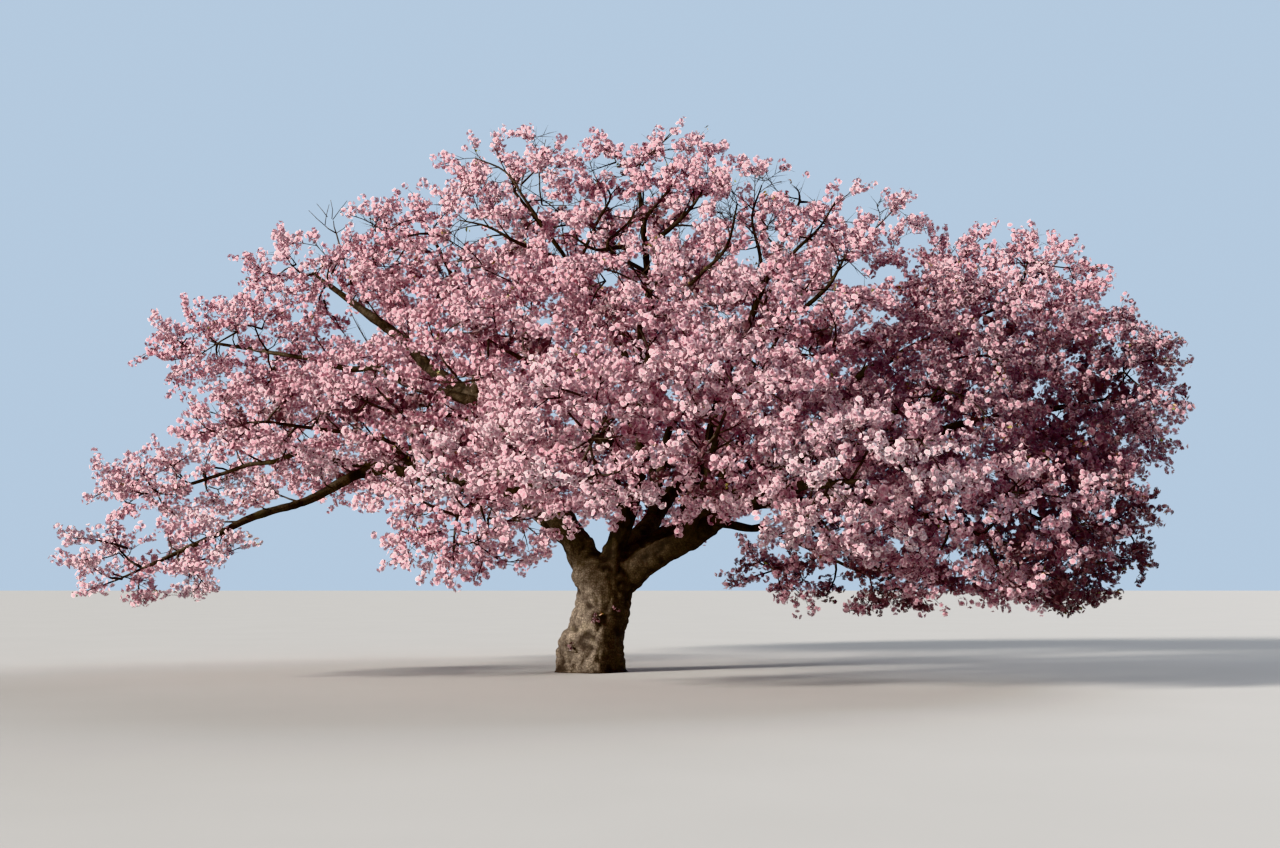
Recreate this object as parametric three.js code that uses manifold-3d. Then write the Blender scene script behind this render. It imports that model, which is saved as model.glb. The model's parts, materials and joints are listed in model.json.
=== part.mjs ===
// A broad old cherry tree in full blossom: one leaning trunk that forks low, boughs that
// spread level and droop at their ends, and a mass of blossom sprays on every bough.
// Millimetres, +Z up. The origin is the middle of the flat cut under the trunk, +X is the
// side that the trunk leans to, and -Y is the front.

import * as THREE from "three";
import { mergeVertices } from "three/addons/utils/BufferGeometryUtils.js";
import Module from "manifold-3d";

const wasm = await Module();
wasm.setup();

// Gaps, in millimetres.
const SEAT_GAP = 0.3;
const STEM_GAP = 0.35;
const SMALLEST_FACETS = [8, 6, 4.5, 3, 2];
const TWIG_GAP = 45;
const LOWEST_TWIG = 650;

// The trunk, from the flat cut to the fork.
const TRUNK = {
  height: 1880,
  footRadius: 520,
  waistRadius: 462,
  waistHeight: 1150,
  forkRadius: 600,
  forkDepth: 0.82,
  lean: 250,
  leanHeight: 1500,
  flare: 150,
  flareHeight: 190,
  rootLobes: 5,
  burr: 95,
  burrHeight: 480,
  burrSpread: 230,
  sides: 20,
  rings: 10,
};

// Boughs: how a limb bends and tapers between its root and its tip.
const BOUGH = {
  rootPull: 0.42,
  tipPull: 0.3,
  wander: 0.022,
  taper: 0.75,
  tipShare: 0.24,
  tipExtra: 14,
  collar: 0.22,
  collarLength: 350,
  entry: 0.8,
  ringLength: 1150,
  fewestRings: 3,
  mainRadius: 160,
  mainSides: 9,
  sides: 6,
};

// A mass: its stem, its three-sided twigs, its sprays of blossom and its core.
const TWIG = {
  rootRadius: 27,
  tipRadius: 13,
  thinning: 0.88,
  sides: 3,
  upturn: 0.12,
  forks: [0.4, 0.7],
};
const STEM = { sides: 5, rings: 3, past: 0.25, follow: 0.2, forks: [0.35, 0.55, 0.75, 0.97] };
const SPRAY = { length: 950, width: 680, thickness: 380, shrink: 0.3, apart: 520 };
const INNER_SPRAYS = 0.25;
const CORE = { share: 0.6, lump: 0.1, detail: 1, underside: 0.75 };
const OWN_SPACE = 0.05;
const MASS_SEED = 200;
const GOLDEN_TURN = Math.PI * (3 - Math.sqrt(5));

// Each row is a bough and the mass that it carries, in metres and degrees.
// from: the limb it springs from, and at: how far along it.
// heading: its direction in plan, from +X towards +Y. rise: its slope at the root.
// thick: its diameter at the root. centre and spread: its mass's middle and half sizes.
// sprays: how many sprays the mass has. core: whether the mass is dense.
const LIMBS = [
  {
    name: "left_high", from: "trunk", at: 0.66, heading: 180, rise: 64, thick: 0.58,
    centre: [-4.85, 1.2, 6.95], spread: [1.71, 1.82, 1.1], sprays: 20, core: false,
  },
  {
    name: "front_right_low", from: "trunk", at: 0.62, heading: -4, rise: 42, thick: 0.54,
    centre: [3.75, -5.6, 2.9], spread: [1.65, 1.82, 1.21], sprays: 17, core: true,
  },
  {
    name: "right_outer", from: "trunk", at: 0.86, heading: 14, rise: 34, thick: 0.42,
    centre: [8.65, 0.2, 4.65], spread: [1.71, 2.39, 1.59], sprays: 17, core: true,
  },
  {
    name: "top", from: "trunk", at: 0.84, heading: -25, rise: 68, thick: 0.38,
    centre: [0.85, 0.6, 8.55], spread: [1.71, 1.82, 1.26], sprays: 20, core: false,
  },
  {
    name: "rear_left", from: "trunk", at: 0.8, heading: 132, rise: 40, thick: 0.42,
    centre: [-5.1, 3.8, 4.5], spread: [2.28, 2.28, 1.54], sprays: 17, core: true,
  },
  {
    name: "rear_right", from: "trunk", at: 0.82, heading: 58, rise: 40, thick: 0.42,
    centre: [5.5, 4.7, 4.2], spread: [2.62, 2.39, 1.65], sprays: 17, core: true,
  },
  {
    name: "left_tip_low", from: "left_high", at: 0.22, heading: 190, rise: 22, thick: 0.3,
    centre: [-6.6, -2.4, 1.9], spread: [1.65, 1.71, 0.79], sprays: 20, core: false,
  },
  {
    name: "front_left_low", from: "left_high", at: 0.13, heading: 250, rise: 42, thick: 0.25,
    centre: [-1.6, -5, 2.55], spread: [1.54, 1.71, 1.1], sprays: 17, core: true,
  },
  {
    name: "left_front", from: "left_high", at: 0.36, heading: 238, rise: 25, thick: 0.22,
    centre: [-2.85, -3, 4.15], spread: [1.65, 1.71, 1.21], sprays: 17, core: true,
  },
  {
    name: "left_wing", from: "left_high", at: 0.52, heading: 188, rise: 18, thick: 0.2,
    centre: [-6.45, 0.8, 5.75], spread: [1.65, 1.82, 0.99], sprays: 20, core: false,
  },
  {
    name: "upper_left", from: "left_high", at: 0.58, heading: 280, rise: 70, thick: 0.2,
    centre: [-2.5, -1.2, 7.05], spread: [1.71, 1.82, 1.21], sprays: 20, core: false,
  },
  {
    name: "left_tip_upper", from: "left_tip_low", at: 0.42, heading: 186, rise: 12, thick: 0.15,
    centre: [-7.25, 0.2, 3.15], spread: [1.71, 1.71, 0.83], sprays: 20, core: false,
  },
  {
    name: "left_wing_low", from: "left_tip_low", at: 0.3, heading: 166, rise: 36, thick: 0.17,
    centre: [-4.75, -2.6, 4], spread: [1.71, 1.71, 0.83], sprays: 20, core: false,
  },
  {
    name: "top_left", from: "top", at: 0.55, heading: 165, rise: 52, thick: 0.16,
    centre: [-1.15, 0.2, 8.15], spread: [1.71, 1.82, 1.32], sprays: 20, core: false,
  },
  {
    name: "centre", from: "top", at: 0.34, heading: 268, rise: 42, thick: 0.2,
    centre: [0.85, -4.2, 5.4], spread: [1.82, 1.94, 1.26], sprays: 17, core: true,
  },
  {
    name: "centre_left", from: "top", at: 0.24, heading: 236, rise: 45, thick: 0.2,
    centre: [-1.2, -4, 5], spread: [1.71, 1.82, 1.26], sprays: 17, core: true,
  },
  {
    name: "front_centre", from: "top", at: 0.14, heading: 262, rise: 30, thick: 0.22,
    centre: [0.2, -6, 3.45], spread: [1.6, 1.71, 1.26], sprays: 17, core: true,
  },
  {
    name: "rear_top", from: "top", at: 0.44, heading: 112, rise: 46, thick: 0.18,
    centre: [-0.6, 3.2, 6.6], spread: [2.28, 1.94, 1.43], sprays: 20, core: false,
  },
  {
    name: "front_centre_right", from: "front_right_low", at: 0.28, heading: 278, rise: 36, thick: 0.22,
    centre: [1.95, -5.6, 3.65], spread: [1.48, 1.71, 1.32], sprays: 17, core: true,
  },
  {
    name: "front_right_outer", from: "front_right_low", at: 0.42, heading: -12, rise: 8, thick: 0.22,
    centre: [5.8, -4.4, 2.2], spread: [1.88, 1.82, 1.19], sprays: 17, core: true,
  },
  {
    name: "right_under", from: "front_right_low", at: 0.36, heading: 12, rise: -8, thick: 0.15,
    centre: [4.3, -1.6, 1.75], spread: [2.22, 1.6, 0.94], sprays: 20, core: false,
  },
  {
    name: "top_right", from: "right_outer", at: 0.16, heading: 30, rise: 72, thick: 0.22,
    centre: [3.55, 0.5, 7.9], spread: [2.45, 2.05, 1.26], sprays: 20, core: false,
  },
  {
    name: "centre_right", from: "right_outer", at: 0.24, heading: 290, rise: 52, thick: 0.2,
    centre: [3, -3.6, 5.35], spread: [1.82, 1.94, 1.32], sprays: 17, core: true,
  },
  {
    name: "right_front", from: "right_outer", at: 0.42, heading: 300, rise: 20, thick: 0.2,
    centre: [5.35, -3, 4.3], spread: [1.82, 1.94, 1.38], sprays: 17, core: true,
  },
  {
    name: "right_top", from: "right_outer", at: 0.48, heading: 10, rise: 56, thick: 0.22,
    centre: [7.4, 0.8, 6.5], spread: [1.94, 2.28, 1.43], sprays: 17, core: true,
  },
  {
    name: "right_low", from: "right_outer", at: 0.55, heading: -14, rise: -14, thick: 0.17,
    centre: [7.4, -2.4, 2.4], spread: [1.65, 2.05, 1.38], sprays: 17, core: true,
  },
  {
    name: "rear_centre_left", from: "rear_left", at: 0.3, heading: 92, rise: 30, thick: 0.22,
    centre: [-2, 5.6, 4.1], spread: [2.05, 2.05, 1.59], sprays: 17, core: true,
  },
  {
    name: "rear_centre", from: "rear_right", at: 0.3, heading: 92, rise: 30, thick: 0.22,
    centre: [1.7, 6.2, 3.95], spread: [2.17, 2.05, 1.65], sprays: 17, core: true,
  },
  {
    name: "rear_top_right", from: "rear_right", at: 0.24, heading: 70, rise: 66, thick: 0.2,
    centre: [3.3, 3.6, 6.3], spread: [2.28, 1.94, 1.43], sprays: 20, core: false,
  },
];

const PALE = ["front_left_low", "front_centre", "front_right_low", "left_tip_low", "left_tip_upper"];
const MAUVE = ["right_outer", "right_top", "right_low", "right_front", "right_under", "rear_right"];
const MATERIALS = {
  bark: new THREE.MeshStandardMaterial({ color: 0x5c4c40, roughness: 0.95, metalness: 0 }),
  mossyBark: new THREE.MeshStandardMaterial({ color: 0x565045, roughness: 0.95, metalness: 0 }),
  pale: new THREE.MeshStandardMaterial({ color: 0xf0bfc8, roughness: 0.8, metalness: 0 }),
  pink: new THREE.MeshStandardMaterial({ color: 0xdf9db0, roughness: 0.8, metalness: 0 }),
  mauve: new THREE.MeshStandardMaterial({ color: 0xbf86a0, roughness: 0.8, metalness: 0 }),
};

// A repeatable stream of numbers from 0 to 1.
function seeded(seed) {
  let state = seed;
  return () => {
    state = (1664525 * state + 1013904223) % 4294967296;
    return state / 4294967296;
  };
}

function vector(metres) {
  return new THREE.Vector3(...metres).multiplyScalar(1000);
}

// The unit direction for a heading in plan and a slope, both in degrees.
function direction(heading, rise) {
  const turn = THREE.MathUtils.degToRad(heading);
  const slope = THREE.MathUtils.degToRad(rise);
  return new THREE.Vector3(
    Math.cos(turn) * Math.cos(slope),
    Math.sin(turn) * Math.cos(slope),
    Math.sin(slope),
  );
}

// A closed geometry as a manifold solid.
function solidOf(geometry) {
  geometry.deleteAttribute("normal");
  geometry.deleteAttribute("uv");
  const merged = mergeVertices(geometry, 1e-3);
  return new wasm.Manifold(
    new wasm.Mesh({
      numProp: 3,
      vertProperties: new Float32Array(merged.attributes.position.array),
      triVerts: new Uint32Array(merged.index.array),
    }),
  );
}

function geometryOf(solid) {
  const mesh = solid.getMesh();
  const geometry = new THREE.BufferGeometry();
  geometry.setAttribute("position", new THREE.BufferAttribute(mesh.vertProperties, 3));
  geometry.setIndex(new THREE.BufferAttribute(mesh.triVerts, 1));
  return geometry;
}

// The largest body of a solid: loose scraps go, and sealed hollows are filled.
function wholeBody(solid) {
  return solid.decompose().reduce((best, body) => (body.volume() > best.volume() ? body : best));
}

// Whether every edge of a solid has exactly two faces once near points are one.
function isSound(solid) {
  const merged = mergeVertices(geometryOf(solid), 1e-3);
  const corners = merged.index.array;
  const edges = new Map();
  for (let i = 0; i < corners.length; i++) {
    const next = i % 3 === 2 ? i - 2 : i + 1;
    const key = [corners[i], corners[next]].sort().join(" ");
    edges.set(key, (edges.get(key) ?? 0) + 1);
  }
  return [...edges.values()].every((faces) => faces === 2);
}

// A solid without its smallest facets, by the coarsest step that leaves it sound.
function simplified(solid) {
  const original = solid.asOriginal();
  const tries = SMALLEST_FACETS.map((facet) => wholeBody(original.simplify(facet)));
  return tries.find(isSound) ?? original;
}

function trunkCentre(height) {
  const climb = THREE.MathUtils.smoothstep(height, 0, TRUNK.leanHeight);
  return new THREE.Vector3(TRUNK.lean * climb, 0, height);
}

// The trunk's radius: a waist between the root flare and the fork, with root lobes at the
// ground and a burr on the side away from the lean.
function trunkRadius(height, angle) {
  const above = THREE.MathUtils.smoothstep(height, TRUNK.waistHeight, TRUNK.height);
  const below = 1 - THREE.MathUtils.smoothstep(height, 0, TRUNK.waistHeight);
  const fork = (TRUNK.forkRadius - TRUNK.waistRadius) * above;
  const round = TRUNK.waistRadius + (TRUNK.footRadius - TRUNK.waistRadius) * below + fork;
  const depth = 1 - (1 - TRUNK.forkDepth) * above * Math.sin(angle) ** 2;
  const lobes = 0.6 + 0.4 * Math.cos(TRUNK.rootLobes * angle + 0.6);
  const flare = TRUNK.flare * lobes * Math.exp(-height / TRUNK.flareHeight);
  const away = Math.max(0, -Math.cos(angle)) ** 3;
  const burrHeight = (height - TRUNK.burrHeight) / TRUNK.burrSpread;
  return round * depth + flare + TRUNK.burr * away * Math.exp(-burrHeight * burrHeight);
}

// The trunk as a closed cylinder whose rings are moved to the centre line and shaped.
function trunkGeometry(extra) {
  const geometry = new THREE.CylinderGeometry(1, 1, 1, TRUNK.sides, TRUNK.rings);
  const position = geometry.attributes.position;
  for (let i = 0; i < position.count; i++) {
    const across = new THREE.Vector2(position.getX(i), -position.getZ(i));
    const share = position.getY(i) + 0.5;
    const height = TRUNK.height * share + extra * share;
    const centre = trunkCentre(height);
    const size = across.length() * (trunkRadius(height, across.angle()) + extra);
    across.setLength(size);
    position.setXYZ(i, centre.x + across.x, centre.y + across.y, height);
  }
  return geometry;
}

// A limb's centre line, radius and solid. The line is a cubic curve that leaves its parent
// at a heading and a slope, and enters its mass heading for the middle of it.
class Limb {
  constructor(row, start, seed) {
    this.row = row;
    this.centre = vector(row.centre);
    this.spread = vector(row.spread);
    this.rootRadius = (row.thick * 1000) / 2;
    this.tipRadius = this.rootRadius * BOUGH.tipShare + BOUGH.tipExtra;
    const reach = start.distanceTo(this.centre);
    const pull = start.clone().addScaledVector(direction(row.heading, row.rise), reach * BOUGH.rootPull);
    this.aim = this.centre.clone().sub(pull).normalize();
    const edge = 1 / this.aim.clone().divide(this.spread).length();
    const tip = this.centre.clone().addScaledVector(this.aim, -edge * BOUGH.entry);
    const approach = tip.clone().addScaledVector(this.aim, -reach * BOUGH.tipPull);
    this.curve = new THREE.CubicBezierCurve3(start, pull, approach, tip);
    this.length = this.curve.getLength();
    this.phase = seeded(seed)() * Math.PI * 2;
  }

  // A point on the centre line, which wanders a little from side to side.
  point(share) {
    const sway = this.length * BOUGH.wander * Math.sin(Math.PI * share);
    const wave = this.phase + share * Math.PI * 4;
    const side = new THREE.Vector3(-this.aim.y, this.aim.x, 0);
    return this.curve
      .getPoint(share)
      .addScaledVector(side, sway * Math.cos(wave))
      .add(new THREE.Vector3(0, 0, sway * Math.sin(wave)));
  }

  radius(share) {
    const collar = 1 + BOUGH.collar * Math.exp((-share * this.length) / BOUGH.collarLength);
    return (this.rootRadius + (this.tipRadius - this.rootRadius) * share ** BOUGH.taper) * collar;
  }

  tangent(share) {
    const step = 0.01;
    const ahead = this.point(Math.min(1, share + step));
    return ahead.sub(this.point(Math.max(0, share - step))).normalize();
  }

  // The limb as a closed cylinder bent along the line, thicker all round by extra.
  geometry(extra) {
    const sides = this.rootRadius > BOUGH.mainRadius ? BOUGH.mainSides : BOUGH.sides;
    const rings = Math.max(BOUGH.fewestRings, Math.ceil(this.length / BOUGH.ringLength));
    const geometry = new THREE.CylinderGeometry(1, 1, 1, sides, rings);
    const point = (share) => this.point(share);
    const radius = (share) => this.radius(share) + extra;
    return bend(geometry, rings, point, radius, extra);
  }
}

// Bends a unit cylinder along a line. Each ring stands square to the line, and turns as
// little as it can from the ring before it.
function bend(geometry, rings, point, radius, extra) {
  const frames = [];
  let side = new THREE.Vector3(0, 1, 0);
  for (let i = 0; i <= rings; i++) {
    const share = i / rings;
    const ahead = point(Math.min(1, share + 0.01)).sub(point(Math.max(0, share - 0.01))).normalize();
    if (Math.abs(side.dot(ahead)) > 0.95) side = new THREE.Vector3(1, 0, 0);
    side = side.clone().addScaledVector(ahead, -side.dot(ahead)).normalize();
    const other = ahead.clone().cross(side);
    const middle = point(share).addScaledVector(ahead, (share * 2 - 1) * extra);
    frames.push({ middle, side, other, radius: radius(share) });
  }
  const position = geometry.attributes.position;
  for (let i = 0; i < position.count; i++) {
    const frame = frames[Math.round((position.getY(i) + 0.5) * rings)];
    const place = frame.middle
      .clone()
      .addScaledVector(frame.side, position.getX(i) * frame.radius)
      .addScaledVector(frame.other, -position.getZ(i) * frame.radius);
    position.setXYZ(i, place.x, place.y, place.z);
  }
  return geometry;
}

// Space that is already taken, as thick lines, each with its owner's name.
const taken = [];

function take(owner, start, end, radius) {
  taken.push({ owner, line: new THREE.Line3(start, end), radius });
}

// The distance between a line and the line from start to end, by points along the latter.
function apart(line, start, end) {
  const own = new THREE.Line3(start, end);
  const nearest = new THREE.Vector3();
  const probe = new THREE.Vector3();
  const steps = 6;
  let least = Infinity;
  for (let i = 0; i <= steps; i++) {
    own.at(i / steps, probe);
    line.closestPointToPoint(probe, true, nearest);
    least = Math.min(least, nearest.distanceTo(probe));
  }
  return least;
}

function isFree(owner, start, end, radius) {
  return taken.every(
    (other) => other.owner === owner || apart(other.line, start, end) > radius + other.radius + TWIG_GAP,
  );
}

// How far out a point lies in a mass: 0 in the middle, 1 on its surface.
function depthIn(limb, point) {
  return point.clone().sub(limb.centre).divide(limb.spread).length();
}

// Whether a point lies in a mass's own space, and clear of the other masses' cores.
function inOwnSpace(limb, limbs, point) {
  const depth = depthIn(limb, point);
  return (
    point.z > LOWEST_TWIG &&
    depth <= 1.001 &&
    limbs.every((other) => other === limb || depthIn(other, point) > depth + OWN_SPACE)
  );
}

// The ends of a mass's sprays: most are spread evenly over its surface by the golden turn,
// and a mass with no core has a share of them further in.
function sprayTips(limb, draw) {
  const tips = [];
  const count = limb.row.sprays;
  const inner = limb.row.core ? 0 : Math.round(count * INNER_SPRAYS);
  for (let i = 0; i < count; i++) {
    const isInner = i >= count - inner;
    const place = isInner ? (i - count + inner + 0.5) / inner : (i + 0.5) / (count - inner);
    const height = 1 - 2 * place;
    const turn = i * GOLDEN_TURN + draw() * 0.7;
    const level = Math.sqrt(1 - height * height);
    const out = new THREE.Vector3(level * Math.cos(turn), level * Math.sin(turn), height);
    const share = isInner ? 0.5 + 0.15 * draw() : 0.94 + 0.06 * draw();
    tips.push(out.multiply(limb.spread).multiplyScalar(share).add(limb.centre));
  }
  return tips;
}

// A straight three-sided twig from a point inside what carries it.
function twigSolid(start, end, rootRadius, tipRadius) {
  const line = new THREE.Line3(start, end);
  const geometry = new THREE.CylinderGeometry(1, 1, 1, TWIG.sides, 1);
  const radius = (share) => rootRadius + (tipRadius - rootRadius) * share;
  return solidOf(bend(geometry, 1, (share) => line.at(share, new THREE.Vector3()), radius, 0));
}

// A spray of blossom: a flat eight-faced lens that lies along its twig.
function spraySolid(root, tip, scale) {
  const ahead = tip.clone().sub(root).normalize();
  const side = new THREE.Vector3(-ahead.y, ahead.x, 0.15).normalize();
  const over = ahead.clone().cross(side).normalize();
  side.copy(over).cross(ahead);
  const half = tip.distanceTo(root) / 2;
  const basis = new THREE.Matrix4().makeBasis(
    ahead.multiplyScalar(half),
    side.multiplyScalar((SPRAY.width / 2) * scale),
    over.multiplyScalar((SPRAY.thickness / 2) * scale),
  );
  basis.setPosition(root.clone().add(tip).multiplyScalar(0.5));
  return solidOf(new THREE.OctahedronGeometry(1, 0).applyMatrix4(basis));
}

// The stem goes on from the bough's tip to a little past the middle of the mass.
function stemOf(limb) {
  const tip = limb.point(1);
  const start = tip.clone().addScaledVector(limb.tangent(1), STEM_GAP);
  const past = Math.min(limb.spread.x, limb.spread.y) * STEM.past;
  const end = limb.centre.clone().addScaledVector(limb.aim, past);
  return { start, end, rootRadius: limb.tipRadius, tipRadius: TWIG.rootRadius };
}

function stemSolid(limb, stem) {
  const line = new THREE.Line3(stem.start, stem.end);
  const away = limb.tangent(1);
  const geometry = new THREE.CylinderGeometry(1, 1, 1, STEM.sides, STEM.rings);
  const point = (share) => {
    const straight = line.at(share, new THREE.Vector3());
    const follow = line.distance() * STEM.follow * share * (1 - share);
    return straight.addScaledVector(away, follow);
  };
  const radius = (share) => stem.rootRadius + (stem.tipRadius - stem.rootRadius) * share;
  return solidOf(bend(geometry, STEM.rings, point, radius, 0));
}

// The lumpy heart of a dense mass.
function coreSolid(limb, draw) {
  const geometry = new THREE.IcosahedronGeometry(1, CORE.detail);
  const position = geometry.attributes.position;
  const phase = draw() * 6;
  for (let i = 0; i < position.count; i++) {
    const out = new THREE.Vector3().fromBufferAttribute(position, i);
    const lump = Math.sin(4 * out.x + phase) + Math.sin(5 * out.y + phase) * Math.cos(4 * out.z);
    out.z *= out.z < 0 ? CORE.underside : 1;
    out.multiplyScalar(CORE.share * (1 + CORE.lump * lump)).multiply(limb.spread).add(limb.centre);
    position.setXYZ(i, out.x, out.y, out.z);
  }
  return solidOf(geometry);
}

// Whether a line passes through the core of another mass.
function meetsCore(limb, limbs, start, end, radius) {
  const line = new THREE.Line3(start, end);
  return limbs.some((other) => {
    if (other === limb || !other.row.core) return false;
    const reach = CORE.share * (1 + CORE.lump) + (radius + TWIG_GAP) / other.spread.z;
    const probes = [0, 0.25, 0.5, 0.75, 1].map((share) => line.at(share, new THREE.Vector3()));
    return probes.some((probe) => depthIn(other, probe) < reach);
  });
}

// The twig and spray that end at a tip, or null where they would leave the mass's space or
// touch a neighbour.
function growSpray(limb, limbs, forks, tip, scale) {
  const owner = limb.row.name + " mass";
  const fork = forks.reduce((best, next) =>
    next.place.distanceTo(tip) < best.place.distanceTo(tip) ? next : best,
  );
  const length = Math.min(SPRAY.length * scale, fork.place.distanceTo(tip) * 0.9);
  const ahead = tip.clone().sub(fork.place).normalize();
  ahead.z += TWIG.upturn;
  ahead.normalize();
  const root = tip.clone().addScaledVector(ahead, -length);
  const middle = tip.clone().add(root).multiplyScalar(0.5);
  const halfWidth = (SPRAY.width / 2) * scale;
  const radius = Math.min(fork.radius, TWIG.rootRadius);
  const held =
    inOwnSpace(limb, limbs, tip) &&
    inOwnSpace(limb, limbs, middle) &&
    isFree(owner, root, tip, halfWidth) &&
    isFree(owner, fork.place, middle, radius) &&
    !meetsCore(limb, limbs, root, tip, halfWidth) &&
    !meetsCore(limb, limbs, fork.place, middle, radius);
  return held ? { owner, fork: fork.place, root, middle, tip, halfWidth, radius, ahead } : null;
}

// A mass: each spray's twig grows from the nearest point of the twigs already there.
function growMass(limb, limbs, seed) {
  const draw = seeded(seed);
  const stem = stemOf(limb);
  let solid = stemSolid(limb, stem);
  if (limb.row.core) solid = solid.add(coreSolid(limb, draw));
  const spine = new THREE.Line3(stem.start, stem.end);
  take(limb.row.name + " mass", stem.start, stem.end, stem.rootRadius);
  const forks = STEM.forks.map((share) => ({
    place: spine.at(share, new THREE.Vector3()),
    radius: stem.tipRadius * TWIG.thinning,
  }));
  const tips = sprayTips(limb, draw);
  tips.sort((a, b) => a.distanceTo(spine.start) - b.distanceTo(spine.start));
  const middles = [];
  for (const tip of tips) {
    const scale = 1 - SPRAY.shrink * draw();
    const spray = growSpray(limb, limbs, forks, tip, scale);
    if (!spray || middles.some((other) => other.distanceTo(spray.middle) < SPRAY.apart)) continue;
    const twigRoot = spray.fork.clone().addScaledVector(spray.ahead, -spray.radius * 0.5);
    solid = solid.add(twigSolid(twigRoot, spray.middle, spray.radius, TWIG.tipRadius));
    solid = solid.add(spraySolid(spray.root, tip, scale));
    take(spray.owner, spray.fork, spray.middle, spray.radius);
    take(spray.owner, spray.root, tip, spray.halfWidth);
    middles.push(spray.middle);
    const twig = new THREE.Line3(spray.fork, spray.middle);
    TWIG.forks.forEach((share) =>
      forks.push({ place: twig.at(share, new THREE.Vector3()), radius: spray.radius * TWIG.thinning }),
    );
  }
  return solid;
}

function named(name, solid, material) {
  const body = wholeBody(solidOf(geometryOf(wholeBody(solid))));
  const mesh = new THREE.Mesh(geometryOf(body), material);
  mesh.name = name;
  return mesh;
}

function blossomMaterial(name) {
  if (PALE.includes(name)) return MATERIALS.pale;
  return MAUVE.includes(name) ? MATERIALS.mauve : MATERIALS.pink;
}

const tree = new THREE.Group();
tree.add(named("trunk", solidOf(trunkGeometry(0)), MATERIALS.bark));

// Boughs, in order: each is cut clear of the trunk and of the boughs before it.
const limbs = [];
const grown = [solidOf(trunkGeometry(SEAT_GAP))];
LIMBS.forEach((row, i) => {
  const parent = limbs.find((limb) => limb.row.name === row.from);
  const start = parent ? parent.point(row.at) : trunkCentre(TRUNK.height * row.at);
  const limb = new Limb(row, start, i + 1);
  const solid = grown.reduce((left, other) => left.subtract(other), solidOf(limb.geometry(0)));
  const material = row.from === "trunk" ? MATERIALS.bark : MATERIALS.mossyBark;
  tree.add(named("bough_" + row.name, solid, material));
  grown.push(solidOf(limb.geometry(SEAT_GAP)));
  limbs.push(limb);
  const steps = 8;
  for (let step = 0; step < steps; step++) {
    const radius = limb.radius(step / steps);
    take(row.name, limb.point(step / steps), limb.point((step + 1) / steps), radius);
  }
});

// Masses of blossom, one on each bough's tip.
limbs.forEach((limb, i) => {
  const mass = simplified(growMass(limb, limbs, MASS_SEED + i));
  const solid = grown.reduce((left, other) => left.subtract(other), mass);
  tree.add(named("blossom_" + limb.row.name, solid, blossomMaterial(limb.row.name)));
});

export default tree;
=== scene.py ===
import functools
import json
import math

import bpy
import numpy as np
from mathutils.kdtree import KDTree
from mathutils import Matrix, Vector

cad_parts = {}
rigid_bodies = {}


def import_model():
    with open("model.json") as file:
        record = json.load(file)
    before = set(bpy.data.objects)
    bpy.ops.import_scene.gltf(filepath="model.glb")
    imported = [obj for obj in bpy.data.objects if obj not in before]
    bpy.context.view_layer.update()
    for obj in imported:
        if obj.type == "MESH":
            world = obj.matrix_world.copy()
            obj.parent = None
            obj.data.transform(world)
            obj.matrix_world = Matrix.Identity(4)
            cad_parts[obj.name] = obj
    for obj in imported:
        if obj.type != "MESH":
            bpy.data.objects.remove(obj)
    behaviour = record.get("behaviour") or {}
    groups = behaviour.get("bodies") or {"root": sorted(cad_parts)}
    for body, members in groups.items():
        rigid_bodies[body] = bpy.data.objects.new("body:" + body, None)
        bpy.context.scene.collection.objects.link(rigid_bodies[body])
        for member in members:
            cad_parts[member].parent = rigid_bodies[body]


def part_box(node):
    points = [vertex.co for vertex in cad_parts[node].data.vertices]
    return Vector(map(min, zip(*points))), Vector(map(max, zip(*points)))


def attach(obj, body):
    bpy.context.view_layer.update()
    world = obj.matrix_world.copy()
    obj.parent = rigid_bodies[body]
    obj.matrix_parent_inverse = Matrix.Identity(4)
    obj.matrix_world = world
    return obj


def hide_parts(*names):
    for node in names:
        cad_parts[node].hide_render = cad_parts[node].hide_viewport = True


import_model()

bl_info = {
    "name": "Cherry tree in blossom",
    "version": (1, 0, 0),
    "blender": (4, 5, 0),
    "location": "View3D > Sidebar > Cherry tree",
    "description": "Bark, twigs and blossom of a broad old cherry tree, with its stage",
    "category": "Add Mesh",
}

# The growth rule, in metres: the same values as the solids have.
TRUNK_HEIGHT = 1.88
FOOT_RADIUS = 0.52
WAIST_RADIUS = 0.462
WAIST_HEIGHT = 1.15
FORK_RADIUS = 0.6
FORK_DEPTH = 0.82
LEAN = 0.25
LEAN_HEIGHT = 1.5
FLARE = 0.15
FLARE_HEIGHT = 0.19
ROOT_LOBES = 5
BURR = 0.095
BURR_HEIGHT = 0.48
BURR_SPREAD = 0.23
ROOT_LOBE_TURN = 0.6

ROOT_PULL = 0.42
TIP_PULL = 0.3
WANDER = 0.022
TAPER = 0.75
TIP_SHARE = 0.24
TIP_EXTRA = 0.014
COLLAR = 0.22
COLLAR_LENGTH = 0.35
ENTRY = 0.8

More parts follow.
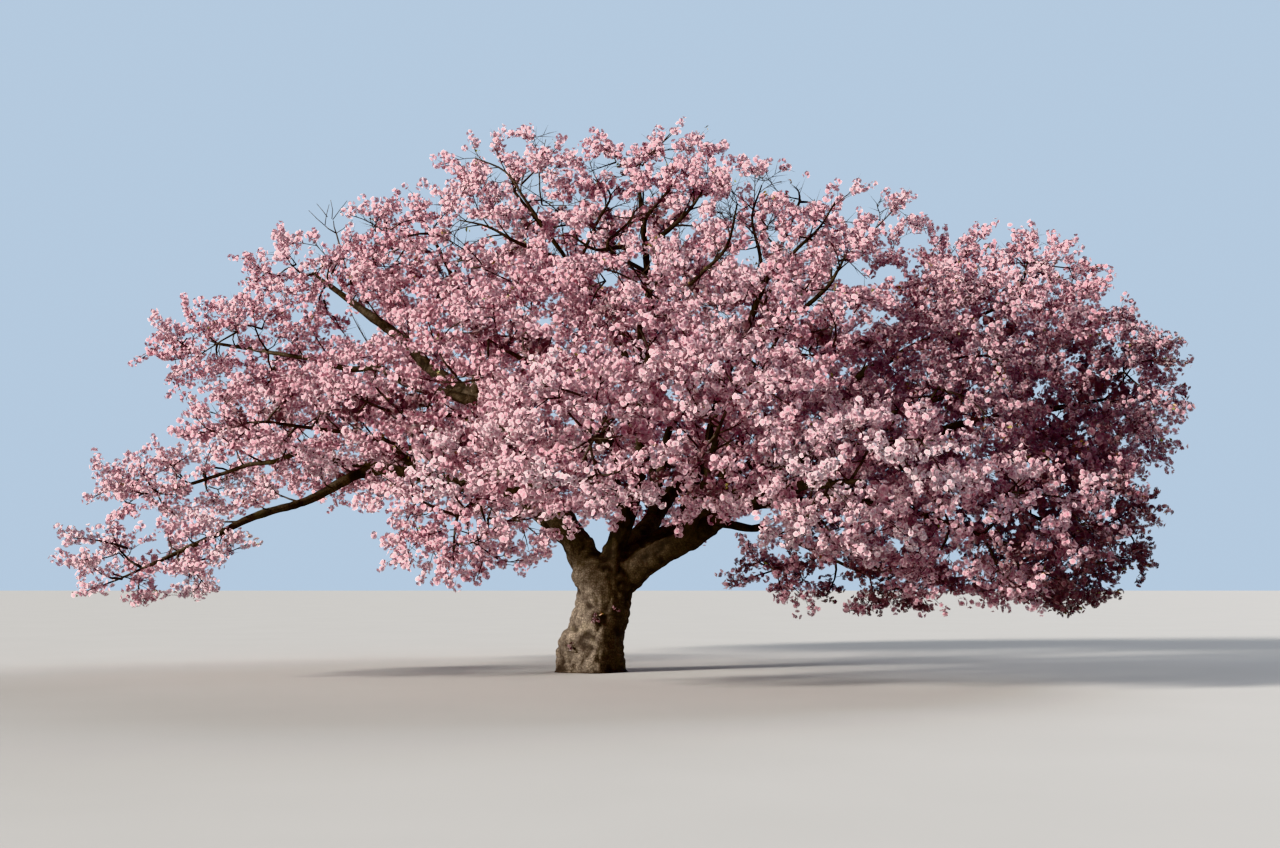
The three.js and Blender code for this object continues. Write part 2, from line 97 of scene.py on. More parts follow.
TWIG_ROOT = 0.027
TWIG_THINNING = 0.88
TWIG_UPTURN = 0.12
TWIG_FORKS = (0.4, 0.7)
TWIG_GAP = 0.045
LOWEST_TWIG = 0.65
STEM_GAP = 0.00035
STEM_PAST = 0.25
STEM_FOLLOW = 0.2
STEM_FORKS = (0.35, 0.55, 0.75, 0.97)
SPRAY_LENGTH = 0.95
SPRAY_WIDTH = 0.68
SPRAY_SHRINK = 0.3
SPRAY_APART = 0.52
SPRAY_TURN = 0.7
SPRAY_CLEAR = 0.9
DENSE_SPRAYS = 17
OPEN_SPRAYS = 20
INNER_SPRAYS = 0.25
OUTER_SPRAYS_OUT = (0.94, 0.06)
INNER_SPRAYS_OUT = (0.5, 0.15)
CORE_REACH = 0.66
OWN_SPACE = 0.05
ON_SURFACE = 1.001
BOUGH_JOINTS = 8
CURVE_SAMPLES = 201
MASS_SEED = 200
GOLDEN_TURN = math.pi * (3 - math.sqrt(5))

# Each row is a bough and the mass of blossom on it, as in the solids: name, the limb it springs
# from and how far along, heading and rise in degrees, root diameter, the mass's middle and half
# sizes, and whether it is dense.
LIMBS = (
    ("left_high", "trunk", 0.66, 180, 64, 0.58, (-4.85, 1.2, 6.95), (1.71, 1.82, 1.1), False),
    ("front_right_low", "trunk", 0.62, -4, 42, 0.54, (3.75, -5.6, 2.9), (1.65, 1.82, 1.21), True),
    ("right_outer", "trunk", 0.86, 14, 34, 0.42, (8.65, 0.2, 4.65), (1.71, 2.39, 1.59), True),
    ("top", "trunk", 0.84, -25, 68, 0.38, (0.85, 0.6, 8.55), (1.71, 1.82, 1.26), False),
    ("rear_left", "trunk", 0.8, 132, 40, 0.42, (-5.1, 3.8, 4.5), (2.28, 2.28, 1.54), True),
    ("rear_right", "trunk", 0.82, 58, 40, 0.42, (5.5, 4.7, 4.2), (2.62, 2.39, 1.65), True),
    ("left_tip_low", "left_high", 0.22, 190, 22, 0.3, (-6.6, -2.4, 1.9), (1.65, 1.71, 0.79), False),
    ("front_left_low", "left_high", 0.13, 250, 42, 0.25, (-1.6, -5, 2.55), (1.54, 1.71, 1.1), True),
    ("left_front", "left_high", 0.36, 238, 25, 0.22, (-2.85, -3, 4.15), (1.65, 1.71, 1.21), True),
    ("left_wing", "left_high", 0.52, 188, 18, 0.2, (-6.45, 0.8, 5.75), (1.65, 1.82, 0.99), False),
    ("upper_left", "left_high", 0.58, 280, 70, 0.2, (-2.5, -1.2, 7.05), (1.71, 1.82, 1.21), False),
    ("left_tip_upper", "left_tip_low", 0.42, 186, 12, 0.15, (-7.25, 0.2, 3.15), (1.71, 1.71, 0.83), False),
    ("left_wing_low", "left_tip_low", 0.3, 166, 36, 0.17, (-4.75, -2.6, 4), (1.71, 1.71, 0.83), False),
    ("top_left", "top", 0.55, 165, 52, 0.16, (-1.15, 0.2, 8.15), (1.71, 1.82, 1.32), False),
    ("centre", "top", 0.34, 268, 42, 0.2, (0.85, -4.2, 5.4), (1.82, 1.94, 1.26), True),
    ("centre_left", "top", 0.24, 236, 45, 0.2, (-1.2, -4, 5), (1.71, 1.82, 1.26), True),
    ("front_centre", "top", 0.14, 262, 30, 0.22, (0.2, -6, 3.45), (1.6, 1.71, 1.26), True),
    ("rear_top", "top", 0.44, 112, 46, 0.18, (-0.6, 3.2, 6.6), (2.28, 1.94, 1.43), False),
    ("front_centre_right", "front_right_low", 0.28, 278, 36, 0.22,
     (1.95, -5.6, 3.65), (1.48, 1.71, 1.32), True),
    ("front_right_outer", "front_right_low", 0.42, -12, 8, 0.22, (5.8, -4.4, 2.2), (1.88, 1.82, 1.19), True),
    ("right_under", "front_right_low", 0.36, 12, -8, 0.15, (4.3, -1.6, 1.75), (2.22, 1.6, 0.94), False),
    ("top_right", "right_outer", 0.16, 30, 72, 0.22, (3.55, 0.5, 7.9), (2.45, 2.05, 1.26), False),
    ("centre_right", "right_outer", 0.24, 290, 52, 0.2, (3, -3.6, 5.35), (1.82, 1.94, 1.32), True),
    ("right_front", "right_outer", 0.42, 300, 20, 0.2, (5.35, -3, 4.3), (1.82, 1.94, 1.38), True),
    ("right_top", "right_outer", 0.48, 10, 56, 0.22, (7.4, 0.8, 6.5), (1.94, 2.28, 1.43), True),
    ("right_low", "right_outer", 0.55, -14, -14, 0.17, (7.4, -2.4, 2.4), (1.65, 2.05, 1.38), True),
    ("rear_centre_left", "rear_left", 0.3, 92, 30, 0.22, (-2, 5.6, 4.1), (2.05, 2.05, 1.59), True),
    ("rear_centre", "rear_right", 0.3, 92, 30, 0.22, (1.7, 6.2, 3.95), (2.17, 2.05, 1.65), True),
    ("rear_top_right", "rear_right", 0.24, 70, 66, 0.2, (3.3, 3.6, 6.3), (2.28, 1.94, 1.43), False),
)

# The masses with the palest blossom, painted light on the sunlit front of the crown; those with the coolest
# and darker blossom, painted shade on its shaded right and rear; and all others.
SUNLIT_MASSES = ("front_left_low", "front_centre", "front_right_low", "left_tip_low", "left_tip_upper")
SHADED_MASSES = ("right_outer", "right_low", "right_front", "right_under", "rear_right")
OTHERS = tuple(row[0] for row in LIMBS if row[0] not in SUNLIT_MASSES + SHADED_MASSES)

# The tints of the blossom, each with its slot and the masses that it replaces.
TINTS = (
    ("white", "pale_blossom", SUNLIT_MASSES),
    ("pale", "pale_blossom", SUNLIT_MASSES),
    ("pink", "pink_blossom", OTHERS),
    ("rose", "pink_blossom", OTHERS),
    ("mauve", "mauve_blossom", SHADED_MASSES),
    ("deep", "pink_blossom", OTHERS),
)

# How tints are dealt out: each spray draws a number, and takes the first tint that is above it.
SUNLIT_DEAL = (("white", 0.42), ("pale", 0.85), ("pink", 1.2), ("rose", math.inf))
SHADED_DEAL = (("pink", 0.1), ("mauve", 1.15), ("rose", 1.35), ("deep", math.inf))
OTHERS_DEAL = (("pale", 0.35), ("pink", 0.8), ("rose", 1.2), ("deep", math.inf))

# What is added to that number, where more mostly deals a darker tint: by patches, the blossom's own tone at
# random;
# in the heart of a mass, in its lower half and inside the crown, painted shade; by the mass, painted
# shade on the shaded side and painted light at the lit top; and low on the right of the crown, painted
# shade, from where to where across and up.
PATCH_GRAIN = 0.55
PATCH_SHADE = 0.35
HEART_DEPTH = 0.7
HEART_SHADE = 0.3
UNDER_SHADE = 0.15
DEEP_SHADE = 0.75
SHADE = {
    "right_low": 0.85, "right_under": 0.8, "right_outer": 0.3, "rear_right": 0.3, "rear_centre": 0.3,
    "top": -0.2, "top_left": -0.2, "top_right": -0.15, "upper_left": -0.1,
}
LOW_SHADE = 0.6
LOW_FROM = (5.5, 7.2)
LOW_UNDER = (1.9, 3.2)

# The crown that the finer growth fills: how fast a mass fades outwards, how far out it is whole,
# how much the outline sways, how far from a mass twigs may reach, and from which level of a
# pattern that is wider than tall a dense and an open mass have growth.
FADE = 2.0
WHOLE = 0.9
OUTLINE_GRAIN = 0.9
OUTLINE_SWAY = 0.55
FURTHEST = 1.3
TIER_GRAIN = (0.7, 0.7, 1.5)
TIER_GAPS = -0.55
OPEN_GAPS = -0.2

# How far apart the tips of twigs are in the skin of a dense mass, of an open one and inside the
# crown, between which strengths of the crown its skin ends, and how many places are tried.
APART_DENSE = 0.45
APART_OPEN = 0.5
APART_INSIDE = 0.85
SKIN_ENDS = (0.5, 1.1)
TIP_TRIES = 200000

# Seeds of the patterns.
OUTLINE_SEED = 21
TIER_SEED = 22
PATCH_SEED = 9
LACE_SEED = 31
VEIL_SEED = 33
BLOSSOM_SEED = 11
LEAF_SEED = 23

# In the pairs below for reach, spread, lift, length and what chance does to flowers, the second
# number is the most that chance adds to the first.

# Twigs: rings of the thick and the fine ones, the radius that they end in, how far out they bend,
# how much they follow what bears them, and how far apart they are on a bough. Fine ones have a
# greatest radius, a least length, a share of the thickness that they spring from, a sag, a stray
# and a taper.
TWIG_RINGS = 5
FINE_RINGS = 4
TWIG_END = 0.005
TWIG_BEND = 0.5
SPRAY_BEND = 0.45
SPRAY_AHEAD = 0.6
BOUGH_TWIGS_APART = 0.5
FINE_RADIUS = 0.018
FINE_AHEAD = 0.7
FINE_TAPER = (0.9, 0.75)
FINE_SHORTEST = 0.2
FINE_THINNING = 0.8
FINE_SAG = 0.08
FINE_STRAY = 0.15

# Twigs on the outer half of a bough: how far along from and to, how far nearer the root they may
# be, how much of the bough bears them, their reach, how much they run ahead and follow the bough,
# how far they spread and lift, and how far out of a mass they may end.
SIDE_ALONG = (0.45, 0.98)
SIDE_NEARER = 0.05
SIDE_SHARE = 0.55
SIDE_REACH = (0.85, 0.5)
SIDE_AHEAD = 0.6
SIDE_FOLLOW = 0.4
SIDE_SPREAD = (0.4, 0.8)
SIDE_LIFT = (0.35, 0.75)
SIDE_FURTHEST = 1.9

# Shoots: how far apart, least and most on a twig, how far along it from and to, their reach and how
# it falls off along the twig, their angle to it and how much that strays, how they lean out of its
# plane, how they turn ahead and up, and their radius.
SHOOTS_APART = 0.105
SHOOTS_COUNT = (3, 8)
SHOOTS_ALONG = (0.34, 0.93)
SHOOT_REACH = (0.2, 0.2)
SHOOT_REACH_FIRST = 1.25
SHOOT_REACH_FALL = 0.5
SHOOT_ANGLE = 0.85
SHOOT_STRAY = 0.25
SHOOT_LEAN = 0.5
SHOOT_AHEAD = 0.15
SHOOT_UPTURN = 0.1
SHOOT_RADIUS = 0.006

# Young leaves: how many at the end of a shoot, on what share of shoots, their length, and in shares
# of it where they are widest, how wide to each side, how far folded and how far set back. Then how
# they stray from the shoot's end and turn from its direction.
LEAVES = 3
LEAFY = 0.05
LEAFY_MAUVE = 0.16
LEAF_LENGTH = (0.05, 0.035)
LEAF_WIDEST = 0.55
LEAF_HALF_WIDTH = 0.24
LEAF_FOLD = 0.1
LEAF_BACK = 0.7
LEAF_STRAY = 0.02
LEAF_TURN = 0.2

# Flowers: petals, half a petal's angle, how round a flower is shaded, the share of a twig and of a
# shoot that bears none, how far they keep from a bough as a length and as a share of its radius,
# the step at which boughs are tried for that, and the most triangles in a piece.
PETALS = 5
FLOWER_POINTS = 1 + 2 * PETALS
PETAL_HALF = 0.56
ROUNDING = 0.6
BARE_TWIG = 0.45
BARE_SHOOT = 0.3
WOOD_ROOM = 0.05
WOOD_SHARE = 0.5
WOOD_STEP = 0.15
MOST_TRIANGLES = 190000

# What chance does to flowers: how far a cluster strays from its shoot, how its flowers stray from an
# even ball and how far out they sit, how large each is and how cupped, how its rim and its lift
# vary from petal to petal, and how its blush varies from flower to flower and along the rim.
CLUSTER_STRAY = (0.01, 0.03)
FLOWER_STRAY = 0.22
FLOWER_OUT = (0.75, 0.5)
FLOWER_SIZE = (0.78, 0.4)
FLOWER_CUP = (0.2, 0.55)
PETAL_RIM = (0.92, 0.2)
PETAL_LIFT = (0.8, 0.5)
BLUSH_OF_FLOWERS = 0.1
BLUSH_OF_RIM = 0.05

# What the heart of a flower keeps of the red, green and blue of its rim.
HEART = (0.68, 0.4, 0.48)

# Where the crown is open into its shade, or ends lower than its masses do: middles and half sizes.
HOLLOWS = (
    ((4.5, -4.4, 4.75), (0.65, 1.3, 0.4)),
    ((3.3, -4.4, 4.05), (0.35, 1.2, 0.38)),
    ((5.5, -4.6, 3.5), (0.45, 1.2, 0.3)),
    ((10.2, -2, 2.1), (1.8, 3.5, 1.6)),
    ((4.75, 0, 9.1), (1.6, 4, 0.9)),
    ((-2.3, 0, 9.6), (1.2, 4, 0.6)),
)

# The camera: its place, its lens in millimetres, and its tilt in degrees.
EYE = (0.86, -26.5, 1.56)
LENS = 43.03
TILT = 95.82

# Where the crown is open to the sky as seen from the eye, or trimmed to its outline: middles, and
# half sizes across, along and up. Fine twigs end outside each, and other twigs and blossom outside
# a smaller share of it.
SKY_GAPS = (
    ((0.3, 0, 6.85), (0.36, 8, 0.24)),
    ((0.85, 0, 7.1), (0.34, 8, 0.18)),
    ((2.8, 0, 7.2), (0.3, 6, 0.3)),
    ((0.3, 0, 8.15), (0.28, 4, 0.2)),
    ((4.5, 0, 6.95), (0.36, 8, 0.26)),
    ((-3.95, 0, 5.92), (0.55, 4.5, 0.42)),
    ((-5.18, -2.2, 1.72), (0.8, 3.0, 0.45)),
    ((0.82, 0, 9.65), (0.35, 4.5, 0.4)),
    ((3.15, 0, 9.35), (0.95, 4.5, 0.42)),
    ((4.5, 0, 9.0), (0.75, 4.5, 0.5)),
)
TWIG_GAP_SHARE = 0.9
BLOSSOM_GAP_SHARE = 0.85

# The top of the crown is open like lace, in columns along the eye's line: how fine the pattern is,
# the heights between which it opens, and from which level of it the blossom is left out at each.
LACE_GRAIN = 4.4
LACE_HEIGHTS = (6.7, 8.1)
LACE_HELD = (0.85, 0.24)

# Long arms that run on from the boughs to the front of the upper crown: the bough, how far along
# it they fork, their root radius and the points they run through.
ARMS = (
    ("top", 0.99, 0.055, ((1.34, -0.5, 7.57), (1.7, -0.8, 7.86), (1.92, -0.9, 8.15))),
    ("top", 0.97, 0.05, ((0.5, -0.4, 7.3), (0.11, -0.9, 7.15), (-0.3, -1.1, 7.35))),
    ("top", 0.9, 0.04, ((0.3, -0.8, 7.22), (0.64, -0.7, 7.64), (0.81, -0.6, 7.95))),
    ("top", 1.0, 0.045, ((0.95, -0.4, 7.78), (1.17, -0.6, 8.04), (1.38, -0.7, 8.24))),
    ("top", 0.72, 0.05, ((1.79, -0.9, 6.63), (2.3, -1.3, 7.09), (2.5, -1.2, 7.87))),
    ("top_right", 0.6, 0.05, ((3.81, -1.2, 6.26), (4.15, -1.3, 6.68), (4.29, -1.3, 6.96))),
    ("top_right", 1.0, 0.04, ((3.6, -0.3, 7.3), (3.95, -0.6, 7.6), (4.2, -0.8, 8.0))),
    ("top_right", 0.97, 0.04, ((2.95, -0.2, 7.25), (2.8, -0.5, 7.8), (2.95, -0.8, 8.3))),
    ("top_left", 0.96, 0.04, ((-1.17, -1.0, 7.23), (-1.68, -1.2, 7.47), (-2.17, -1.2, 7.59))),
    ("top_left", 1.0, 0.035, ((-1.09, -0.6, 8.04), (-1.47, -0.5, 8.61), (-2.01, -0.5, 8.86))),
    ("top_left", 0.9, 0.035, ((0.1, -0.3, 7.75), (0.35, -0.5, 8.2), (0.05, -0.5, 8.49))),
)
ARM_RINGS = 13
ARM_TAPER = 0.72
ARM_TWIGS = 6
ARM_TWIGS_FROM = 0.4
ARM_TWIG_REACH = (0.4, 0.35)
ARM_TWIG_AHEAD = 0.8
ARM_TWIG_FOLLOW = 0.6
ARM_TWIG_SPREAD = (0.4, 0.5)
ARM_TWIG_STRAY = 0.25
ARM_TWIG_THINNING = 0.6

# Stretches of bough that show from the front except where the veils below cover them, the room
# left beside them, and how many places on each are tried.
BARE_BOUGHS = (
    ("left_high", 0.62, 0.97), ("left_tip_low", 0.25, 0.9), ("left_wing_low", 0.1, 0.75),
    ("left_wing", 0.4, 0.75), ("top", 0.85, 1), ("top_right", 0.8, 1),
)
BARE_ROOM = 0.07
BARE_SAMPLES = 60

# How far along an arm it begins to be bare.
BARE_FROM = 0.3

# Patches of blossom that veil the boughs even so: how fine the pattern is, and from which level.
VEIL_GRAIN = 1.7
VEIL_FROM = 0.22

# The height at which the pale bark of the trunk begins to darken towards the boughs, and over how much it
# does: partly the boughs' own darker bark, partly painted shade under the crown.
BOUGH_BARK_AND_SHADE_FROM = 1.35
BOUGH_BARK_AND_SHADE_RISE = 1.0

# Where the bark turns to its darker side away from the key lamp, a painted shade, and over how much it does.
SUNLESS_FROM = 0.02
SUNLESS_WIDTH = 0.4

# Where twigs also fill the crown between masses that stand further apart: middles and half sizes,
# and how far from a mass they may reach there.
BRIDGES = (
    ((1.3, -2.0, 6.8), (3.4, 1.7, 1.0)),
    ((6.3, -1.5, 5.9), (1.8, 1.6, 0.9)),
    ((-3.4, 3.4, 5.9), (1.6, 1.4, 1.0)),
    ((1.3, 5.2, 5.5), (2.6, 1.2, 0.8)),
    ((0.6, 2.4, 7.7), (3.2, 1.4, 0.9)),
    ((0.2, -1.5, 7.8), (2.4, 1.1, 0.7)),
    ((8.4, -1.3, 4.4), (1.1, 1.0, 1.3)),
)
BRIDGE_REACH = 2.2

# Where the crown has no gaps between its tiers and its tips are nearer each other: middles and
# half sizes, and what the tips keep of how far apart they are.
CLOSED_ROOMS = (
    ((8.3, -0.7, 4.9), (1.6, 1.4, 1.5)),
    ((7.6, -2.2, 3.0), (1.2, 1.4, 1.0)),
)
CLOSED_APART = 0.8

# The dead twigs above the left bough: the radius of each, and its line in the plane of that bough,
# as across and up. Above the fork they fan out of that plane.
DEAD_DEPTH = 1.2
DEAD_FORK = 7.92
DEAD_FAN = 0.3
DEAD_TAPER = 0.55
DEAD_TWIGS = (
    (0.026, ((-4.45, 6.9), (-4.6, 7.35), (-4.74, 7.92))),
    (0.013, ((-4.74, 7.92), (-4.88, 8.0), (-4.95, 8.06))),
    (0.013, ((-4.74, 7.92), (-4.79, 8.05), (-4.81, 8.17))),
    (0.008, ((-4.95, 8.06), (-5.08, 8.17), (-5.23, 8.32))),
    (0.008, ((-4.95, 8.06), (-4.93, 8.25), (-4.88, 8.46))),
    (0.008, ((-4.93, 8.25), (-5.03, 8.38), (-5.15, 8.52))),
    (0.008, ((-4.81, 8.17), (-4.79, 8.33), (-4.82, 8.5))),
    (0.008, ((-4.81, 8.17), (-4.7, 8.33), (-4.55, 8.53))),
    (0.008, ((-4.7, 8.33), (-4.62, 8.41), (-4.5, 8.44))),
    (0.008, ((-4.74, 7.92), (-4.6, 8.0), (-4.43, 8.15))),
)

# How the bark is made: sides and rings of the trunk and how far they reach past its height, the
# dome that closes it, steps along the boughs, and how often the skin is smoothed.
TRUNK_SIDES = 56
TRUNK_RINGS = 40
TRUNK_REACH = 1.04
DOME_FROM = 1.55
DOME_HEIGHT = 0.42
ROD_STEP = 0.12
BOUGH_STEP = 0.085
SKIN_SMOOTHING = 5

# Lines that the skin's grain follows: where they start on a bough, how many places on each, how far
# apart their grains are, the trunk's own radius for this, how many points of the skin are matched
# at a time, and the height up to which its relief fades in.
GRAIN_FROM = 0.08
GRAIN_PLACES = 90
GRAIN_APART = 3.1
GRAIN_TRUNK = 0.5
GRAIN_BATCH = 4000
PLAIN_FOOT = 0.06

# The sides of thick boughs, thin boughs and arms, from which radius a bough is thick, and how far
# apart the grains of boughs and arms are.
THICK_SIDES = 12
THIN_SIDES = 9
ARM_SIDES = 7
THICK_FROM = 0.1
BOUGH_GRAIN_APART = 2.3
ARM_GRAIN_APART = 1.9

# The bark's relief: how it goes with the thickness of a limb, how much stronger it is on the side
# boughs, grains and strengths of its lumps, its wrinkles across the limb with their sway, its
# ridges, its grit, and the depth of each.
RELIEF_POWER = 0.8
RELIEF_ON_BOUGHS = 1.2
LUMPS = ((4.3, 0.34), (9.1, 0.2))
LUMP_DEPTH = 0.13
WRINKLE_GRAIN = 21
WRINKLE_SWAY = (3.1, 1.6)
WRINKLE_POWER = 0.6
WRINKLE_PATCHES = 2.2
WRINKLE_DEPTH = 0.05
RIDGE_GRAIN = (9.0, 9.0, 7.5)
RIDGE_TOP = 0.3
RIDGE_DEPTH = 0.09
GRIT = (31, 0.08)
GRIT_DEPTH = 0.05

# Small red shoots on the trunk: height up it, direction in degrees and length. Then their stems, how
# large their flowers are, how deep in the bark they start, their radius, stray and upturn.
TRUNK_SHOOTS = ((0.92, 262, 0.13), (0.4, 236, 0.11), (1.04, 300, 0.09))
TRUNK_SHOOT_STEMS = 5
TRUNK_SHOOT_BLOOM = 0.55
TRUNK_SHOOT_DEPTH = 0.02
TRUNK_SHOOT_RADIUS = 0.01
TRUNK_SHOOT_STRAY = 0.55
TRUNK_SHOOT_UPTURN = 0.4

# The lamps: turns in degrees, colours, and the width of the one behind in degrees.
KEY_TURN = (71, 0, -60)
KEY_COLOUR = (1.0, 0.93, 0.84)
BACK_TURN = (58, 0, 140)
BACK_COLOUR = (0.92, 0.95, 1.0)
BACK_SOFTNESS = 40


def unit(v):
    return v / np.linalg.norm(v, axis=-1, keepdims=True)


def smoothstep(x, low, high):
    t = np.clip((x - low) / (high - low), 0, 1)
    return t * t * (3 - 2 * t)


def chance(least, more, rng, shape=None):
    """A number by chance, or an array of them, from the least up to so much more."""
    return least + more * rng.random(shape)


class Stream:
    """A repeatable stream of numbers from 0 to 1, the same as the solids are grown with."""

    def __init__(self, seed):
        self.state = seed

    def draw(self):
        self.state = (1664525 * self.state + 1013904223) % 4294967296
        return self.state / 4294967296


def lattice_noise(p, seed=0):
    """Smooth noise from -1 to 1 at each of the points p."""
    cell = np.floor(p).astype(np.int64)
    f = p - cell
    f = f * f * (3 - 2 * f)
    total = np.zeros(len(p))
    for dx in (0, 1):
        for dy in (0, 1):
            for dz in (0, 1):
                h = (cell[:, 0] + dx) * 374761393 + (cell[:, 1] + dy) * 668265263
                h = h + (cell[:, 2] + dz) * 2147483647 + seed * 144665
                h = (h ^ (h >> 13)) * 1274126177
                value = ((h ^ (h >> 16)) & 0xFFFF) / 32767.5 - 1
                wx = f[:, 0] if dx else 1 - f[:, 0]
                wy = f[:, 1] if dy else 1 - f[:, 1]
                wz = f[:, 2] if dz else 1 - f[:, 2]
                total += value * wx * wy * wz
    return total


def trunk_centre(height):
    climb = smoothstep(height, 0, LEAN_HEIGHT)
    return np.stack([LEAN * climb, 0 * climb, height + 0 * climb], axis=-1)


def trunk_radius(height, angle):
    above = smoothstep(height, WAIST_HEIGHT, TRUNK_HEIGHT)
    below = 1 - smoothstep(height, 0, WAIST_HEIGHT)
    radius = WAIST_RADIUS + (FOOT_RADIUS - WAIST_RADIUS) * below + (FORK_RADIUS - WAIST_RADIUS) * above
    depth = 1 - (1 - FORK_DEPTH) * above * np.sin(angle) ** 2
    lobes = 0.6 + 0.4 * np.cos(ROOT_LOBES * angle + ROOT_LOBE_TURN)
    flare = FLARE * lobes * np.exp(-height / FLARE_HEIGHT)
    away = np.maximum(0, -np.cos(angle)) ** 3
    burr = BURR * away * np.exp(-(((height - BURR_HEIGHT) / BURR_SPREAD) ** 2))
    return radius * depth + flare + burr


def sight_offset(points, middle):
    """How far points lie across, behind and above the eye's line through a place."""
    away = np.subtract(middle, EYE)
    level = (points[:, 1] - EYE[1]) / away[1]
    offset = points - EYE - level[:, None] * away
    offset[:, 1] = points[:, 1] - middle[1]
    return offset


def depths_in(rooms, points):
    """How far out points lie in each of some rooms: 0 in its middle, 1 on its surface."""
    return np.array([np.linalg.norm((points - middle) / half, axis=1) for middle, half in rooms])


def in_sky_gap(points, share):
    inside = np.zeros(len(points), bool)
    for middle, half in SKY_GAPS:
        inside |= np.linalg.norm(sight_offset(points, middle) / half, axis=1) < share
    return inside


def in_lace(points):
    """Which points lie in the small gaps of the upper crown."""
    level = (points[:, 1] - EYE[1]) / -EYE[1]
    across, up = (EYE[i] + (points[:, i] - EYE[i]) / level for i in (0, 2))
    held = np.interp(smoothstep(up, *LACE_HEIGHTS), (0, 1), LACE_HELD)
    return lattice_noise(np.column_stack([across, 0 * up, up]) * LACE_GRAIN, LACE_SEED) > held


def seen_at(points):
    """Where points show from the eye, as slopes across and up in a plane, and how far away they are."""
    across, away, up = (points - EYE).T
    return np.column_stack([across / away, 0 * away, up / away]), away


def finder(points):
    """A tree that finds which of the points are near a place."""
    tree = KDTree(len(points))
    for i, point in enumerate(points):
        tree.insert(point, i)
    tree.balance()
    return tree


def smooth_line(points, count):
    """A smooth line through a few points, as places and the share of the way to each."""
    points = np.asarray(points, float)
    ends = np.vstack([2 * points[0] - points[1], points, 2 * points[-1] - points[-2]])
    share = np.linspace(0, len(points) - 1, count)
    step = np.minimum(share.astype(int), len(points) - 2)
    t = (share - step)[:, None]
    a, b, c, d = (ends[step + i] for i in range(4))
    line = b + 0.5 * t * (c - a + t * (2 * a - 5 * b + 4 * c - d + t * (3 * (b - c) + d - a)))
    return line, share / (len(points) - 1)


class Limb:
    """A bough's centre line and radius, by the same rule as its solid."""

    def __init__(self, row, start, index):
        self.name, self.parent, _, heading, rise, thick = row[:6]
        self.centre, self.spread = np.array(row[6], float), np.array(row[7], float)
        self.dense = row[8]
        self.sprays = DENSE_SPRAYS if self.dense else OPEN_SPRAYS
        self.index = index
        self.root_radius = thick / 2
        self.tip_radius = self.root_radius * TIP_SHARE + TIP_EXTRA
        turn, slope = math.radians(heading), math.radians(rise)
        level = math.cos(slope)
        out = np.array([math.cos(turn) * level, math.sin(turn) * level, math.sin(slope)])
        reach = np.linalg.norm(start - self.centre)
        pull = start + out * reach * ROOT_PULL
        self.aim = unit(self.centre - pull)
        tip = self.centre - self.aim * ENTRY / np.linalg.norm(self.aim / self.spread)
        self.controls = (start, pull, tip - self.aim * reach * TIP_PULL, tip)
        line = self.curve(np.linspace(0, 1, CURVE_SAMPLES))
        self.length = np.linalg.norm(np.diff(line, axis=0), axis=1).sum()
        self.phase = Stream(index + 1).draw() * 2 * math.pi

    def curve(self, share):
        t = np.atleast_1d(share)[:, None]
        a, b, c, d = self.controls
        return (1 - t) ** 3 * a + 3 * (1 - t) ** 2 * t * b + 3 * (1 - t) * t * t * c + t**3 * d

    def point(self, share):
        t = np.atleast_1d(share)
        sway = self.length * WANDER * np.sin(math.pi * t)
        wave = self.phase + t * 4 * math.pi
        side = np.array([-self.aim[1], self.aim[0], 0])
        line = self.curve(t) + side * (sway * np.cos(wave))[:, None]
        line[:, 2] += sway * np.sin(wave)
        return line

    def radius(self, share):
        t = np.atleast_1d(share)
        collar = 1 + COLLAR * np.exp(-t * self.length / COLLAR_LENGTH)
        return (self.root_radius + (self.tip_radius - self.root_radius) * t**TAPER) * collar

    def depth(self, points):
        """How far out points lie in this limb's mass: 0 in the middle, 1 on its surface."""
        return np.linalg.norm((np.atleast_2d(points) - self.centre) / self.spread, axis=1)


